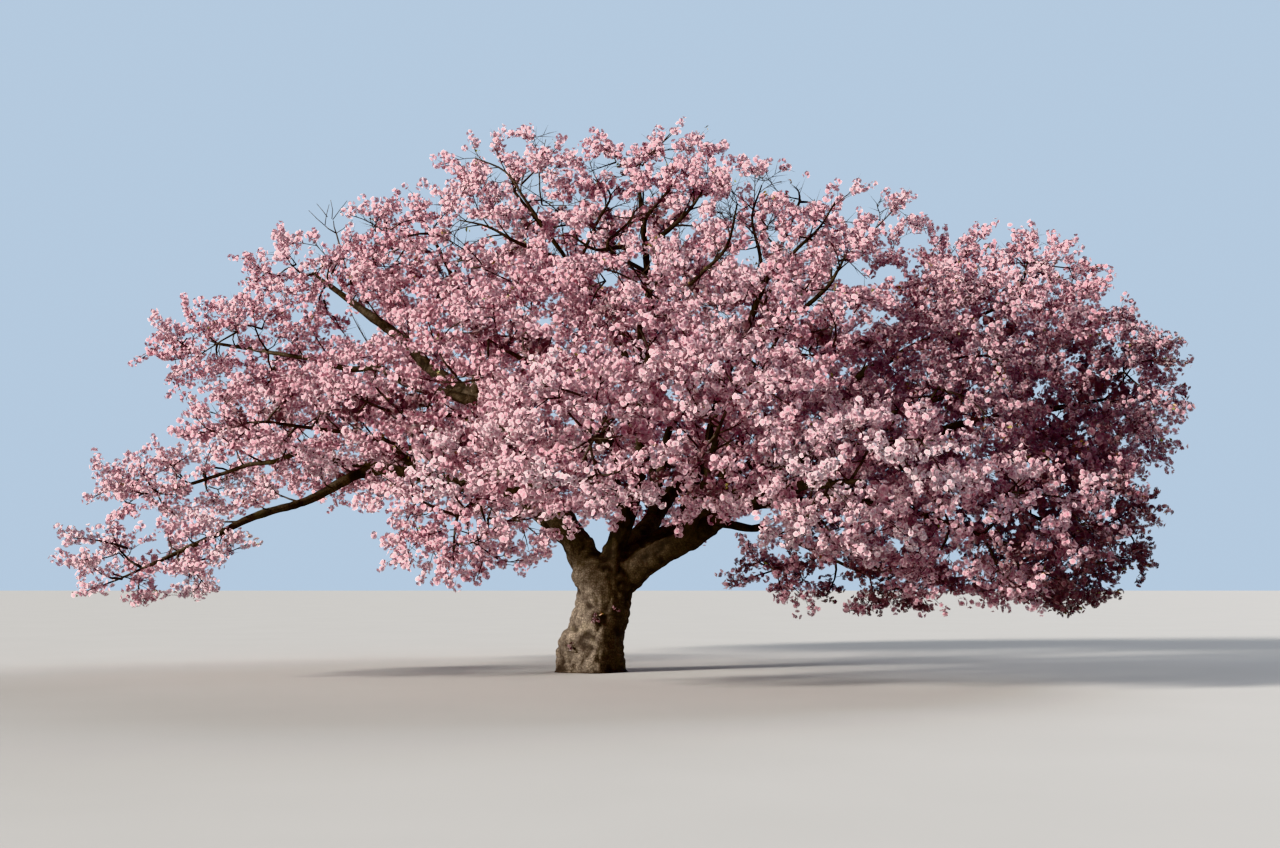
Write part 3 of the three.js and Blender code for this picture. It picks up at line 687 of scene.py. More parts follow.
class Growth:
    """Every limb, stem, twig and shoot of the tree."""

    def __init__(self):
        self.limbs = []
        self.taken = []
        nodes = ["blossom_" + row[0] for row in LIMBS]
        self.low = np.min([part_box(node)[0] for node in nodes], axis=0)
        self.high = np.max([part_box(node)[1] for node in nodes], axis=0)
        for index, row in enumerate(LIMBS):
            parent = next((limb for limb in self.limbs if limb.name == row[1]), None)
            start = parent.point(row[2])[0] if parent else trunk_centre(TRUNK_HEIGHT * row[2])
            limb = Limb(row, start, index)
            self.limbs.append(limb)
            joints = limb.point(np.arange(BOUGH_JOINTS + 1) / BOUGH_JOINTS)
            for step in range(BOUGH_JOINTS):
                self.take(index, joints[step], joints[step + 1], limb.radius(step / BOUGH_JOINTS)[0])
        self.stems = [self.grow_stem(limb) for limb in self.limbs]
        self.twigs = []
        forks = [self.grow_mass(limb, stem) for limb, stem in zip(self.limbs, self.stems)]
        self.arms = []
        for row in ARMS:
            limb = self.named(row[0])
            forks[limb.index] += self.grow_arm(limb, *row[1:])
        tips, owners, inside = self.even_tips()
        for limb, own_forks in zip(self.limbs, forks):
            own = owners == limb.index
            self.grow_twigs(limb, own_forks, tips[own], inside[own])
        for limb in self.limbs:
            self.grow_side_twigs(limb)
        self.twigs = [twig for twig in self.twigs if not in_sky_gap(twig.path[-1:], TWIG_GAP_SHARE)[0]]
        self.shoots = []
        rng = np.random.default_rng(MASS_SEED)
        for twig in self.twigs:
            self.grow_shoots(twig, rng)
        self.grow_trunk_shoots(rng)

    def named(self, name):
        return next(limb for limb in self.limbs if limb.name == name)

    def take(self, owner, start, end, radius):
        self.taken.append((owner, start, end, radius))

    def is_free(self, owner, start, end, radius):
        """Whether a line stays clear of what others have taken."""
        others = [t for t in self.taken if t[0] != owner]
        a = np.array([t[1] for t in others])
        b = np.array([t[2] for t in others])
        r = np.array([t[3] for t in others])
        along = b - a
        for share in np.arange(7) / 6:
            probe = start + (end - start) * share
            t = np.clip(((probe - a) * along).sum(1) / (along * along).sum(1), 0, 1)
            gap = np.linalg.norm(a + along * t[:, None] - probe, axis=1)
            if (gap <= radius + r + TWIG_GAP).any():
                return False
        return True

    def in_own_space(self, limb, points):
        points = np.atleast_2d(points)
        own = limb.depth(points)
        good = (points[:, 2] > LOWEST_TWIG) & (own <= ON_SURFACE)
        for other in self.limbs:
            if other is not limb:
                good &= other.depth(points) > own + OWN_SPACE
        return good

    def even_tips(self):
        """Places for the tips of twigs, spread evenly through the crown and closer in its skin.

        Between masses that stand close the crown is whole, so tips fill the room between them."""
        rng = np.random.default_rng(MASS_SEED)
        held = np.array([twig.path[-1] for twig in self.twigs])
        points = self.low + (self.high - self.low) * rng.random((TIP_TRIES, 3))
        points = np.vstack([held, points])
        depths = np.array([limb.depth(points) for limb in self.limbs])
        between = depths_in(BRIDGES, points)
        field = np.exp(-FADE * depths**2).sum(0) + np.exp(-FADE * between**2).sum(0)
        furthest = np.where(between.min(0) < 1, BRIDGE_REACH, FURTHEST)
        sway = OUTLINE_SWAY * lattice_noise(points * OUTLINE_GRAIN, OUTLINE_SEED)
        edge = math.exp(-FADE * WHOLE**2) * (1 + sway)
        good = (field > edge) & (depths.min(0) < furthest) & (points[:, 2] > LOWEST_TWIG)
        good &= ~in_sky_gap(points, 1)
        owners = depths.argmin(0)
        gaps = np.array([TIER_GAPS if limb.dense else OPEN_GAPS for limb in self.limbs])
        closed = depths_in(CLOSED_ROOMS, points).min(0) < 1
        good &= closed | (lattice_noise(points * np.array(TIER_GRAIN), TIER_SEED) > gaps[owners])
        good &= depths_in(HOLLOWS, points).min(0) > 1
        good[:len(held)] = True
        points, field, owners, closed = (values[good] for values in (points, field, owners, closed))
        skin = np.array([APART_DENSE if limb.dense else APART_OPEN for limb in self.limbs])[owners]
        inside = smoothstep(field, *SKIN_ENDS)
        apart = (skin + (APART_INSIDE - skin) * inside) * np.where(closed, CLOSED_APART, 1)
        near = finder(points)
        kept = np.ones(len(points), bool)
        for i, point in enumerate(points):
            if kept[i]:
                for _, other, _ in near.find_range(point, apart[i]):
                    kept[other] = kept[other] and other <= i
        kept[:len(held)] = False
        return points[kept], owners[kept], inside[kept] > 0.5

    def meets_core(self, limb, start, end, radius):
        probes = start + (end - start) * (np.arange(5) / 4)[:, None]
        return any(
            (other.depth(probes) < CORE_REACH + (radius + TWIG_GAP) / other.spread[2]).any()
            for other in self.limbs
            if other is not limb and other.dense
        )

    def in_reach(self, point):
        """Whether a point lies within the reach of the solids' crown."""
        return (point > self.low).all() and (point < self.high).all()

    def grow_stem(self, limb):
        tip = limb.point(1)[0]
        ahead = unit(tip - limb.point(0.99)[0])
        start = tip + ahead * STEM_GAP
        end = limb.centre + limb.aim * min(limb.spread[0], limb.spread[1]) * STEM_PAST
        return start, end, ahead

    def spray_tips(self, limb, stream):
        tips = []
        count = limb.sprays
        inner = 0 if limb.dense else int(count * INNER_SPRAYS + 0.5)
        for i in range(count):
            deep = i >= count - inner
            place = (i - count + inner + 0.5) / inner if deep else (i + 0.5) / (count - inner)
            height = 1 - 2 * place
            turn = i * GOLDEN_TURN + stream.draw() * SPRAY_TURN
            level = math.sqrt(1 - height * height)
            out = np.array([level * math.cos(turn), level * math.sin(turn), height])
            least, more = INNER_SPRAYS_OUT if deep else OUTER_SPRAYS_OUT
            tips.append(out * limb.spread * (least + more * stream.draw()) + limb.centre)
        return tips

    def grow_mass(self, limb, stem):
        """The sprays of the solid, and the places on the stem and their twigs where finer twigs can fork."""
        owner = limb.index + len(self.limbs)
        stream = Stream(MASS_SEED + limb.index)
        if limb.dense:
            stream.draw()
        start, end, _ = stem
        self.take(owner, start, end, limb.tip_radius)
        radius = TWIG_ROOT * TWIG_THINNING
        forks = [(start + (end - start) * share, radius, unit(end - start)) for share in STEM_FORKS]
        tips = self.spray_tips(limb, stream)
        tips.sort(key=lambda tip: np.linalg.norm(tip - start))
        middles = []
        for tip in tips:
            scale = 1 - SPRAY_SHRINK * stream.draw()
            fork, fork_radius, fork_ahead = min(forks, key=lambda f: np.linalg.norm(f[0] - tip))
            length = min(SPRAY_LENGTH * scale, np.linalg.norm(fork - tip) * SPRAY_CLEAR)
            out = unit(unit(tip - fork) + np.array([0, 0, TWIG_UPTURN]))
            root = tip - out * length
            middle = (tip + root) / 2
            half = SPRAY_WIDTH / 2 * scale
            radius = min(fork_radius, TWIG_ROOT)
            held = (
                self.in_own_space(limb, np.array([tip, middle])).all()
                and self.is_free(owner, root, tip, half)
                and self.is_free(owner, fork, middle, radius)
                and not self.meets_core(limb, root, tip, half)
                and not self.meets_core(limb, fork, middle, radius)
            )
            if not held or any(np.linalg.norm(m - middle) < SPRAY_APART for m in middles):
                continue
            self.take(owner, fork, middle, radius)
            self.take(owner, root, tip, half)
            middles.append(middle)
            reach = np.linalg.norm(tip - fork)
            pull = fork + unit(fork_ahead * SPRAY_AHEAD + unit(middle - fork)) * reach * SPRAY_BEND
            self.twigs.append(Twig(limb, bezier(fork, pull, tip, TWIG_RINGS), radius))
            for share in TWIG_FORKS:
                place = fork + (middle - fork) * share
                forks.append((place, radius * TWIG_THINNING, unit(middle - fork)))
        return forks

    def grow_arm(self, limb, share, radius, points):
        """A long arm with twigs to both sides of it. Returns the places where more can fork."""
        path, along = smooth_line([limb.point(share)[0], *points], ARM_RINGS)
        radii = radius * (1 - ARM_TAPER * along)
        self.arms.append((path, radii))
        aheads = unit(np.gradient(path, axis=0))
        rng = np.random.default_rng(MASS_SEED * 3 + len(self.arms))
        forks = radii * ARM_TWIG_THINNING
        for i, share in enumerate(np.linspace(ARM_TWIGS_FROM, 1, ARM_TWIGS)):
            ring = round(share * (ARM_RINGS - 1))
            root, ahead = path[ring], aheads[ring]
            side = unit(np.cross(ahead, [0, 1, 0])) * (1 if i % 2 else -1)
            out = ahead * ARM_TWIG_AHEAD + side * chance(*ARM_TWIG_SPREAD, rng)
            out = unit(out + rng.normal(0, ARM_TWIG_STRAY, 3))
            reach = chance(*ARM_TWIG_REACH, rng)
            pull = root + unit(out + ahead * ARM_TWIG_FOLLOW) * reach * TWIG_BEND
            self.twigs.append(Twig(limb, bezier(root, pull, root + out * reach, TWIG_RINGS), forks[ring]))
        return [(path[ring], forks[ring], aheads[ring]) for ring in range(3, ARM_RINGS, 3)]

    def grow_twigs(self, limb, forks, tips, inside):
        """Finer twigs that fill the mass, each from the nearest twig already there."""
        rng = np.random.default_rng(MASS_SEED + limb.index)
        ranks = np.argsort(np.linalg.norm(tips - forks[0][0], axis=1))
        places = np.array([f[0] for f in forks])
        radii = np.array([f[1] for f in forks])
        aheads = np.array([f[2] for f in forks])
        for rank in ranks:
            tip = tips[rank]
            nearest = np.argmin(np.linalg.norm(places - tip, axis=1))
            root, radius, ahead = places[nearest], radii[nearest], aheads[nearest]
            reach = np.linalg.norm(tip - root)
            if reach < FINE_SHORTEST:
                continue
            radius = min(radius * FINE_THINNING, FINE_RADIUS)
            out = unit(ahead * FINE_AHEAD + unit(tip - root) + rng.normal(0, FINE_STRAY, 3))
            pull = root + out * reach * TWIG_BEND
            pull[2] -= FINE_SAG * reach
            path = bezier(root, pull, tip, FINE_RINGS)
            self.twigs.append(Twig(limb, path, radius, inside[rank]))
            places = np.vstack([places, path[1:3]])
            radii = np.append(radii, [radius * kept for kept in FINE_TAPER])
            aheads = np.vstack([aheads, unit(np.diff(path, axis=0)[1:3])])

    def grow_side_twigs(self, limb):
        """Twigs on the outer half of a bough, up and out to both sides of it."""
        rng = np.random.default_rng(MASS_SEED * 2 + limb.index)
        count = max(4, int(limb.length * SIDE_SHARE / BOUGH_TWIGS_APART))
        for i, share in enumerate(np.linspace(*SIDE_ALONG, count)):
            share = share + rng.random() * SIDE_NEARER - SIDE_NEARER
            root = limb.point(share)[0]
            ahead = unit(limb.point(share + 0.02)[0] - root)
            side = unit(np.cross(ahead, [0, 0, 1])) * (1 if i % 2 else -1)
            lift = np.array([0, 0, chance(*SIDE_LIFT, rng)])
            out = unit(ahead * SIDE_AHEAD + side * chance(*SIDE_SPREAD, rng) + lift)
            reach = chance(*SIDE_REACH, rng)
            tip = root + out * reach
            if min(other.depth(tip)[0] for other in self.limbs) > SIDE_FURTHEST or tip[2] < LOWEST_TWIG:
                continue
            pull = root + unit(out + ahead * SIDE_FOLLOW) * reach * TWIG_BEND
            self.twigs.append(Twig(limb, bezier(root, pull, tip, TWIG_RINGS), FINE_RADIUS))

    def grow_shoots(self, twig, rng):
        """A fan of shoots to the left and right of a twig, turned up at their ends."""
        path = twig.path
        length = np.linalg.norm(np.diff(path, axis=0), axis=1).sum()
        count = int(np.clip(length / SHOOTS_APART, *SHOOTS_COUNT))
        whole = unit(path[-1] - path[0])
        side = unit(np.cross(whole, [0, 0, 1.0]) + np.array([1e-3, 0, 0]))
        over = np.cross(side, whole)
        for i, share in enumerate(np.linspace(*SHOOTS_ALONG, count)):
            step = share * (len(path) - 1)
            low = int(step)
            root = path[low] + (path[low + 1] - path[low]) * (step - low)
            ahead = unit(path[low + 1] - path[low])
            lean = rng.normal(0, SHOOT_LEAN)
            across = side * (1 if i % 2 else -1) * math.cos(lean) + over * math.sin(lean)
            angle = SHOOT_ANGLE + SHOOT_STRAY * rng.normal()
            out = unit(ahead * math.cos(angle) + across * math.sin(angle) + np.array([0, 0, TWIG_UPTURN]))
            reach = chance(*SHOOT_REACH, rng) * (SHOOT_REACH_FIRST - SHOOT_REACH_FALL * share)
            tip = root + out * reach + ahead * reach * SHOOT_AHEAD
            tip[2] += SHOOT_UPTURN * reach
            if tip[2] < LOWEST_TWIG or not self.in_reach(tip):
                continue
            self.shoots.append((twig, np.array([root, tip])))

    def grow_trunk_shoots(self, rng):
        """The few short shoots that spring from the trunk's own bark."""
        for height, heading, reach in TRUNK_SHOOTS:
            turn = math.radians(heading)
            out = np.array([math.cos(turn), math.sin(turn), 0.0])
            root = trunk_centre(height) + out * (trunk_radius(height, turn) - TRUNK_SHOOT_DEPTH)
            path = np.array([root, root + out * reach])
            spur = Twig(self.limbs[0], path, TRUNK_SHOOT_RADIUS, tint="deep", bloom=TRUNK_SHOOT_BLOOM)
            for _ in range(TRUNK_SHOOT_STEMS):
                stray = rng.normal(0, TRUNK_SHOOT_STRAY, 3)
                tip = root + unit(out + stray + np.array([0, 0, TRUNK_SHOOT_UPTURN])) * reach
                self.shoots.append((spur, np.array([root, tip])))


class Twig:
    """A twig that carries a fan of shoots. A deep one is inside the crown."""

    def __init__(self, limb, path, radius, deep=False, tint=None, bloom=1):
        self.limb, self.path, self.radius = limb, path, radius
        self.deep, self.tint, self.bloom = deep, tint, bloom


def bezier(a, b, c, count):
    t = np.linspace(0, 1, count)[:, None]
    return (1 - t) ** 2 * a + 2 * (1 - t) * t * b + t * t * c


@functools.lru_cache(maxsize=1)
def growth():
    return Growth()


def new_piece(name, points, faces, material, attributes=(), normals=None):
    """A mesh object from arrays, with its material, its slot and its body."""
    mesh = bpy.data.meshes.new(name)
    mesh.vertices.add(len(points))
    mesh.vertices.foreach_set("co", np.ascontiguousarray(points, dtype=np.float32).ravel())
    corners = np.concatenate([f.ravel() for f in faces]).astype(np.int32)
    sizes = np.concatenate([np.full(len(f), f.shape[1]) for f in faces])
    starts = np.concatenate([[0], np.cumsum(sizes)[:-1]]).astype(np.int32)
    mesh.loops.add(len(corners))
    mesh.loops.foreach_set("vertex_index", corners)
    mesh.polygons.add(len(sizes))
    mesh.polygons.foreach_set("loop_start", starts)
    mesh.polygons.foreach_set("use_smooth", np.ones(len(sizes), bool))
    mesh.update(calc_edges=True)
    mesh.validate()
    if normals is not None:
        mesh.normals_split_custom_set_from_vertices(normals.astype(np.float32))
    set_attributes(mesh, attributes)
    piece = link_object(name, mesh)
    dress(piece, material)
    return piece


def set_attributes(mesh, attributes):
    """Values at each point under a name: plain numbers, or rows of three."""
    for name, values in attributes:
        values = np.ascontiguousarray(values, dtype=np.float32)
        kind, field = ("FLOAT_VECTOR", "vector") if values.ndim == 2 else ("FLOAT", "value")
        mesh.attributes.new(name, kind, "POINT").data.foreach_set(field, values.ravel())


def rows_of(items, field):
    """The places or directions of a mesh's points, a row for each."""
    values = np.empty(len(items) * 3, np.float32)
    items.foreach_get(field, values)
    return values.reshape(-1, 3)


def link_object(name, data):
    made = bpy.data.objects.new(name, data)
    bpy.context.collection.objects.link(made)
    return made


def dress(piece, material):
    piece.data.materials.clear()
    piece.data.materials.append(material)
    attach(piece, "root")


def round_about(ahead, side, sides):
    """Directions all round a line that runs ahead, from one side of it on, and their angles."""
    other = np.cross(ahead, side)
    angle = np.arange(sides) * 2 * math.pi / sides
    turned = side[..., None, :] * np.cos(angle)[:, None] + other[..., None, :] * np.sin(angle)[:, None]
    return turned, angle


def spare_axis(lines):
    """For each line the main axis that it follows least."""
    return np.eye(3)[np.argmin(np.abs(lines), axis=1)]


def tubes(paths, radii, sides):
    """Tapering round limbs along many paths at once: points, faces, grain and outward directions."""
    paths, radii = np.asarray(paths), np.asarray(radii)
    count, rings = paths.shape[:2]
    ahead = unit(np.gradient(paths, axis=1))
    spare = spare_axis(unit(paths[:, -1] - paths[:, 0]))
    outward, angle = round_about(ahead, unit(np.cross(ahead, spare[:, None, :])), sides)
    points = paths[:, :, None, :] + outward * radii[:, :, None, None]
    steps = np.linalg.norm(np.diff(paths, axis=1), axis=2)
    along = np.concatenate([np.zeros((count, 1)), np.cumsum(steps, axis=1)], axis=1)
    grain = np.empty_like(points)
    grain[..., 0] = radii[:, :, None] * np.cos(angle)
    grain[..., 1] = radii[:, :, None] * np.sin(angle)
    grain[..., 2] = along[:, :, None]
    grain[..., 0] += (np.arange(count) * 1.7)[:, None, None]
    start = np.arange(count)[:, None, None] * rings * sides
    ring = start + np.arange(rings - 1)[None, :, None] * sides
    here = np.arange(sides)
    following = (here + 1) % sides
    quads = np.stack([ring + here, ring + following, ring + sides + following, ring + sides + here], -1)
    last = (rings - 1) * sides
    caps = np.concatenate([start[:, 0] + here[::-1], start[:, 0] + last + here])
    return points.reshape(-1, 3), [quads.reshape(-1, 4), caps], grain.reshape(-1, 3), outward.reshape(-1, 3)


def spikes(paths, radius):
    """Thin shoots that run out to a point: points, faces and grain."""
    ahead = unit(paths[:, 1] - paths[:, 0])
    ring, _ = round_about(ahead, unit(np.cross(ahead, spare_axis(ahead))), 3)
    points = np.concatenate([paths[:, :1] + ring * radius, paths[:, 1:]], axis=1).reshape(-1, 3)
    spike = np.array([[0, 1, 3], [1, 2, 3], [2, 0, 3], [2, 1, 0]])
    faces = (np.arange(len(paths)) * 4)[:, None, None] + spike
    return points, [faces.reshape(-1, 3)], points


def merged(parts):
    """Several sets of points, faces and values as one."""
    points, faces, grains = [], [], []
    total = 0
    for part_points, part_faces, part_grain in parts:
        points.append(part_points)
        grains.append(part_grain)
        faces += [f + total for f in part_faces]
        total += len(part_points)
    return np.concatenate(points), faces, np.concatenate(grains)


def knobs(points, grain, size):
    """The relief of old bark: lumps, wrinkles round the limb and fine scales. In metres."""
    lumps = sum(lattice_noise(points * scale, i + 1) * share for i, (scale, share) in enumerate(LUMPS))
    sway = lattice_noise(points * WRINKLE_SWAY[0], 3) * WRINKLE_SWAY[1]
    wrinkles = np.abs(np.sin(grain[:, 2] * WRINKLE_GRAIN + sway)) ** WRINKLE_POWER - WRINKLE_POWER
    wrinkles *= 0.5 + 0.5 * lattice_noise(points * WRINKLE_PATCHES, 4)
    ridges = np.abs(lattice_noise(grain * np.array(RIDGE_GRAIN), 5))
    grit = lattice_noise(points * GRIT[0], 6) * GRIT[1]
    deep = lumps * LUMP_DEPTH + wrinkles * WRINKLE_DEPTH - (RIDGE_TOP - ridges) * RIDGE_DEPTH
    return size * deep + grit * GRIT_DEPTH


def relief_tone(relief, size):
    """The relief as the material reads it: about 0 in furrows, a half on the level and 1 on knobs."""
    return relief / size * 6 + 0.5


# Materials.


class Nodes:
    """A short way to write a material's nodes."""

    def __init__(self, name):
        self.material = bpy.data.materials.new(name)
        self.material.use_nodes = True
        self.tree = self.material.node_tree
        self.shader = self.tree.nodes["Principled BSDF"]

    def put(self, socket, value):
        """Links a socket to another, or gives it a number or a colour."""
        if isinstance(value, bpy.types.NodeSocket):
            self.tree.links.new(value, socket)
        elif socket.type == "RGBA":
            socket.default_value = (*value, 1)
        else:
            socket.default_value = value

    def add(self, kind, inputs=(), **settings):
        node = self.tree.nodes.new(kind)
        for key, value in settings.items():
            setattr(node, key, value)
        for key, value in dict(inputs).items():
            self.put(node.inputs[key], value)
        return node

    def attribute(self, name, output):
        return self.add("ShaderNodeAttribute", attribute_name=name).outputs[output]

    def place(self):
        return self.add("ShaderNodeTexCoord").outputs["Object"]

    def stretched(self, vector, along):
        return self.add("ShaderNodeMapping", {"Vector": vector, "Scale": (1, 1, along)}).outputs["Vector"]

    def noise(self, vector, scale, detail, roughness=0.5):
        inputs = {"Vector": vector, "Scale": scale, "Detail": detail, "Roughness": roughness}
        return self.add("ShaderNodeTexNoise", inputs).outputs["Fac"]

    def ramp(self, factor, *stops):
        """A change of tone: each stop is a position, and a colour or a shade of grey."""
        node = self.add("ShaderNodeValToRGB", {"Fac": factor})
        elements = node.color_ramp.elements
        while len(elements) < len(stops):
            elements.new(0.5)
        for element, (position, tone) in zip(elements, stops):
            element.position = position
            element.color = (tone, tone, tone, 1) if isinstance(tone, (int, float)) else (*tone, 1)
        return node.outputs["Color"]

    def mix(self, factor, a, b, blend="MIX"):
        node = self.add("ShaderNodeMix", {0: factor, 6: a, 7: b}, data_type="RGBA", blend_type=blend)
        return node.outputs[2]

    def maths(self, operation, a, b):
        return self.add("ShaderNodeMath", {0: a, 1: b}, operation=operation).outputs[0]

    def bump(self, height, strength, distance):
        inputs = {"Height": height, "Strength": strength, "Distance": distance}
        self.shade({"Normal": self.add("ShaderNodeBump", inputs).outputs["Normal"]})

    def shade(self, inputs):
        """Links or sets inputs of the shader itself."""
        for key, value in inputs.items():
            self.put(self.shader.inputs[key], value)


def bark_material(name, moss):
    """Grey-brown cherry bark with pale bands and mossy patches. Its dark furrows and darker boughs are partly
    painted shade, and its darker side away from the key lamp is painted shade.
    """
    look = bpy.context.scene.cherry_bark
    nodes = Nodes(name)
    grain = nodes.attribute("grain", "Vector")
    relief = nodes.attribute("relief", "Fac")
    place = nodes.place()
    blotches = nodes.noise(place, 5.5, 7, 0.62)
    cells = {"Vector": nodes.stretched(grain, 0.75), "Scale": 26, "Randomness": 0.9}
    plates = nodes.add("ShaderNodeTexVoronoi", cells, feature="DISTANCE_TO_EDGE").outputs["Distance"]
    bands = nodes.noise(nodes.stretched(grain, 5), 6, 5, 0.55)
    grit = nodes.noise(place, 60, 4, 0.6)
    colour = nodes.ramp(blotches, (0.3, look.dark), (0.5, look.middle), (0.72, look.light))
    colour = nodes.mix(nodes.ramp(bands, (0.56, 0), (0.68, 0.55)), colour, look.light)
    colour = nodes.mix(nodes.ramp(plates, (0, 0.75), (0.12, 0)), colour, look.furrow)
    # Darker where the relief sinks: partly the bark's own dark fissures, partly painted shade in the furrows.
    colour = nodes.mix(nodes.ramp(relief, (0.25, 0.85), (0.5, 0)), colour, look.furrow)
    green = nodes.ramp(nodes.noise(place, 2.6, 6, 0.66), (0.62 - moss * 0.2, 0), (0.74 - moss * 0.2, moss))
    colour = nodes.mix(green, colour, look.moss)
    axes = nodes.add("ShaderNodeSeparateXYZ", {"Vector": place}).outputs
    # Darker up the boughs, partly their own bark and partly painted shade under the crown, and on the side
    # away from the key lamp, painted shade.
    for axis, start, width, darker in (
        ("Z", BOUGH_BARK_AND_SHADE_FROM, BOUGH_BARK_AND_SHADE_RISE, look.boughs), ("X", SUNLESS_FROM, SUNLESS_WIDTH, look.sunless)
    ):
        past = nodes.maths("DIVIDE", nodes.maths("SUBTRACT", axes[axis], start), width)
        colour = nodes.mix(1.0, colour, nodes.ramp(past, (0, 1), (1, darker)), "MULTIPLY")
    rough = nodes.ramp(bands, (0.3, 0.95), (0.75, 0.72))
    nodes.shade({"Base Color": colour, "Roughness": rough, "Specular IOR Level": 0.25})
    height = nodes.maths("ADD", nodes.maths("MULTIPLY", grit, 0.4), nodes.maths("MINIMUM", plates, 0.2))
    nodes.bump(nodes.maths("ADD", height, nodes.maths("MULTIPLY", bands, 0.5)), 0.7, 0.02)
    return nodes.material


def twig_material():
    """Dark thin bark with paler patches."""
    look = bpy.context.scene.cherry_bark
    nodes = Nodes("twig_bark")
    patches = nodes.noise(nodes.place(), 9, 4, 0.6)
    colour = nodes.ramp(patches, (0.35, look.furrow), (0.55, look.dark), (0.75, look.middle))
    nodes.shade({"Base Color": colour, "Roughness": 0.8, "Specular IOR Level": 0.3})
    nodes.bump(patches, 0.4, 0.004)
    return nodes.material


def petal_material(name, tip):
    """Petals that deepen from the rim to the heart of the flower, no two quite alike."""
    nodes = Nodes(name)
    heart = tuple(t * kept for t, kept in zip(tip, HEART))
    middle = tuple(t * 0.65 + h * 0.35 for t, h in zip(tip, heart))
    colour = nodes.ramp(nodes.attribute("blush", "Fac"), (0.15, heart), (0.6, middle), (0.95, tip))
    shade = nodes.ramp(nodes.noise(nodes.place(), 34, 3, 0.7), (0.3, (0.86, 0.80, 0.83)), (0.6, 1))
    colour = nodes.mix(1.0, colour, shade, "MULTIPLY")
    nodes.shade({"Base Color": colour, "Roughness": 0.62, "Specular IOR Level": 0.2, "Sheen Weight": 0.15})
    return nodes.material


def leaf_material():
    """Young bronze-green leaves."""
    look = bpy.context.scene.cherry_blossom
    nodes = Nodes("young_leaf")
    colour = nodes.ramp(nodes.noise(nodes.place(), 12, 3), (0.4, look.bronze), (0.6, look.leaf))
    nodes.shade({"Base Color": colour, "Roughness": 0.5})
    return nodes.material


def stage_material(name, colour):
    nodes = Nodes(name)
    darker = tuple(c * 0.97 for c in colour)
    tone = nodes.ramp(nodes.noise(nodes.place(), 0.4, 2), (0.3, darker), (0.7, colour))
    nodes.shade({"Base Color": tone, "Roughness": 0.9})
    return nodes.material


# What a user may change.


def colour_property(name, description, default):
    return bpy.props.FloatVectorProperty(
        name=name, description=description, default=default, subtype="COLOR", size=3, min=0, max=1
    )


def number_property(name, description, default, least=None, most=None, **more):
    limits = {key: value for key, value in (("min", least), ("max", most)) if value is not None}
    return bpy.props.FloatProperty(name=name, description=description, default=default, **limits, **more)


def length_property(name, description, default, least, most):
    return number_property(name, description, default, least, most, unit="LENGTH", subtype="DISTANCE")


class CherryBark(bpy.types.PropertyGroup):
    voxel: length_property("Detail", "Size of the facets of the old bark", 0.033, 0.02, 0.08)
    relief: number_property("Relief", "How strongly the bark is knobbed and furrowed", 1, 0, 2)
    furrow: colour_property("Furrows", "Colour deep in the bark", (0.018, 0.013, 0.011))
    dark: colour_property("Dark bark", "Darkest of the bark's own tones", (0.05, 0.038, 0.031))
    middle: colour_property("Bark", "Middle tone of the bark", (0.13, 0.105, 0.083))
    light: colour_property("Pale bark", "Pale bands and worn knobs", (0.275, 0.225, 0.172))
    # Partly the boughs' own darker bark, partly painted shade under the crown.
    boughs: colour_property("Boughs", "How much darker the bark is on the boughs", (0.42, 0.40, 0.38))
    # Painted shade: the bark is darkened on its side away from the key lamp.
    sunless: colour_property("Damp side", "How much darker the bark is on its damp side", (0.6, 0.58, 0.56))
    moss: colour_property("Moss", "Moss and lichen on the upper limbs", (0.12, 0.105, 0.045))


class CherryBlossom(bpy.types.PropertyGroup):
    flower: length_property("Flower", "Radius of one flower", 0.041, 0.015, 0.06)
    cluster: length_property("Cluster", "From a cluster's middle to its flowers", 0.036, 0.01, 0.08)
    per_cluster: bpy.props.IntProperty(
        name="Flowers", description="Flowers in one cluster", default=4, min=3, max=10
    )
    spacing: length_property("Spacing", "From one cluster to the next along a shoot", 0.098, 0.05, 0.3)
    inside: number_property("Inside", "How much larger flowers inside a dense mass are", 1.7, 1, 3)
    # The palest tint stands for petals in full sun, painted light; mauve and deep rose stand for petals in
    # shade, painted shade; pale, pink and rose are the blossom's own tones, dealt out partly by chance and
    # partly as painted light and shade.
    white: colour_property("Palest", "Petals in full sun", (0.93, 0.80, 0.83))
    pale: colour_property("Pale pink", "Pale petals", (0.90, 0.71, 0.75))
    pink: colour_property("Pink", "Pink petals", (0.83, 0.605, 0.655))
    rose: colour_property("Rose", "Rose petals", (0.69, 0.46, 0.51))
    mauve: colour_property("Mauve", "Cooler petals on the shaded side", (0.54, 0.385, 0.425))
    deep: colour_property("Deep rose", "Petals inside the crown", (0.24, 0.157, 0.166))
    leaf: colour_property("Leaf", "Young leaves", (0.20, 0.23, 0.06))
    bronze: colour_property("Bronze leaf", "Young leaves that are still red-brown", (0.22, 0.09, 0.04))


class CherryStage(bpy.types.PropertyGroup):
    floor: colour_property("Floor", "Colour of the floor", (0.43, 0.425, 0.41))
    light: colour_property("Fill colour", "Colour of the light all round", (0.75, 0.84, 1.0))
    backdrop: colour_property("Backdrop", "Colour behind the tree", (0.50, 0.63, 0.78))
    fill: number_property("Fill", "Strength of the light all round", 0.27)
    key: number_property("Key", "Strength of the main light", 8.3)
    back: number_property("Back", "Strength of the light behind", 2.4)
    softness: number_property(
        "Softness", "Width of the main light in the sky", math.radians(8), subtype="ANGLE", unit="ROTATION"
    )


def select_only(obj):
    bpy.ops.object.select_all(action="DESELECT")
    obj.select_set(True)
    bpy.context.view_layer.objects.active = obj


def apply_modifier(obj, kind, **settings):
    modifier = obj.modifiers.new(kind.title(), kind)
    for key, value in settings.items():
        setattr(modifier, key, value)
    select_only(obj)
    bpy.ops.object.modifier_apply(modifier=modifier.name)


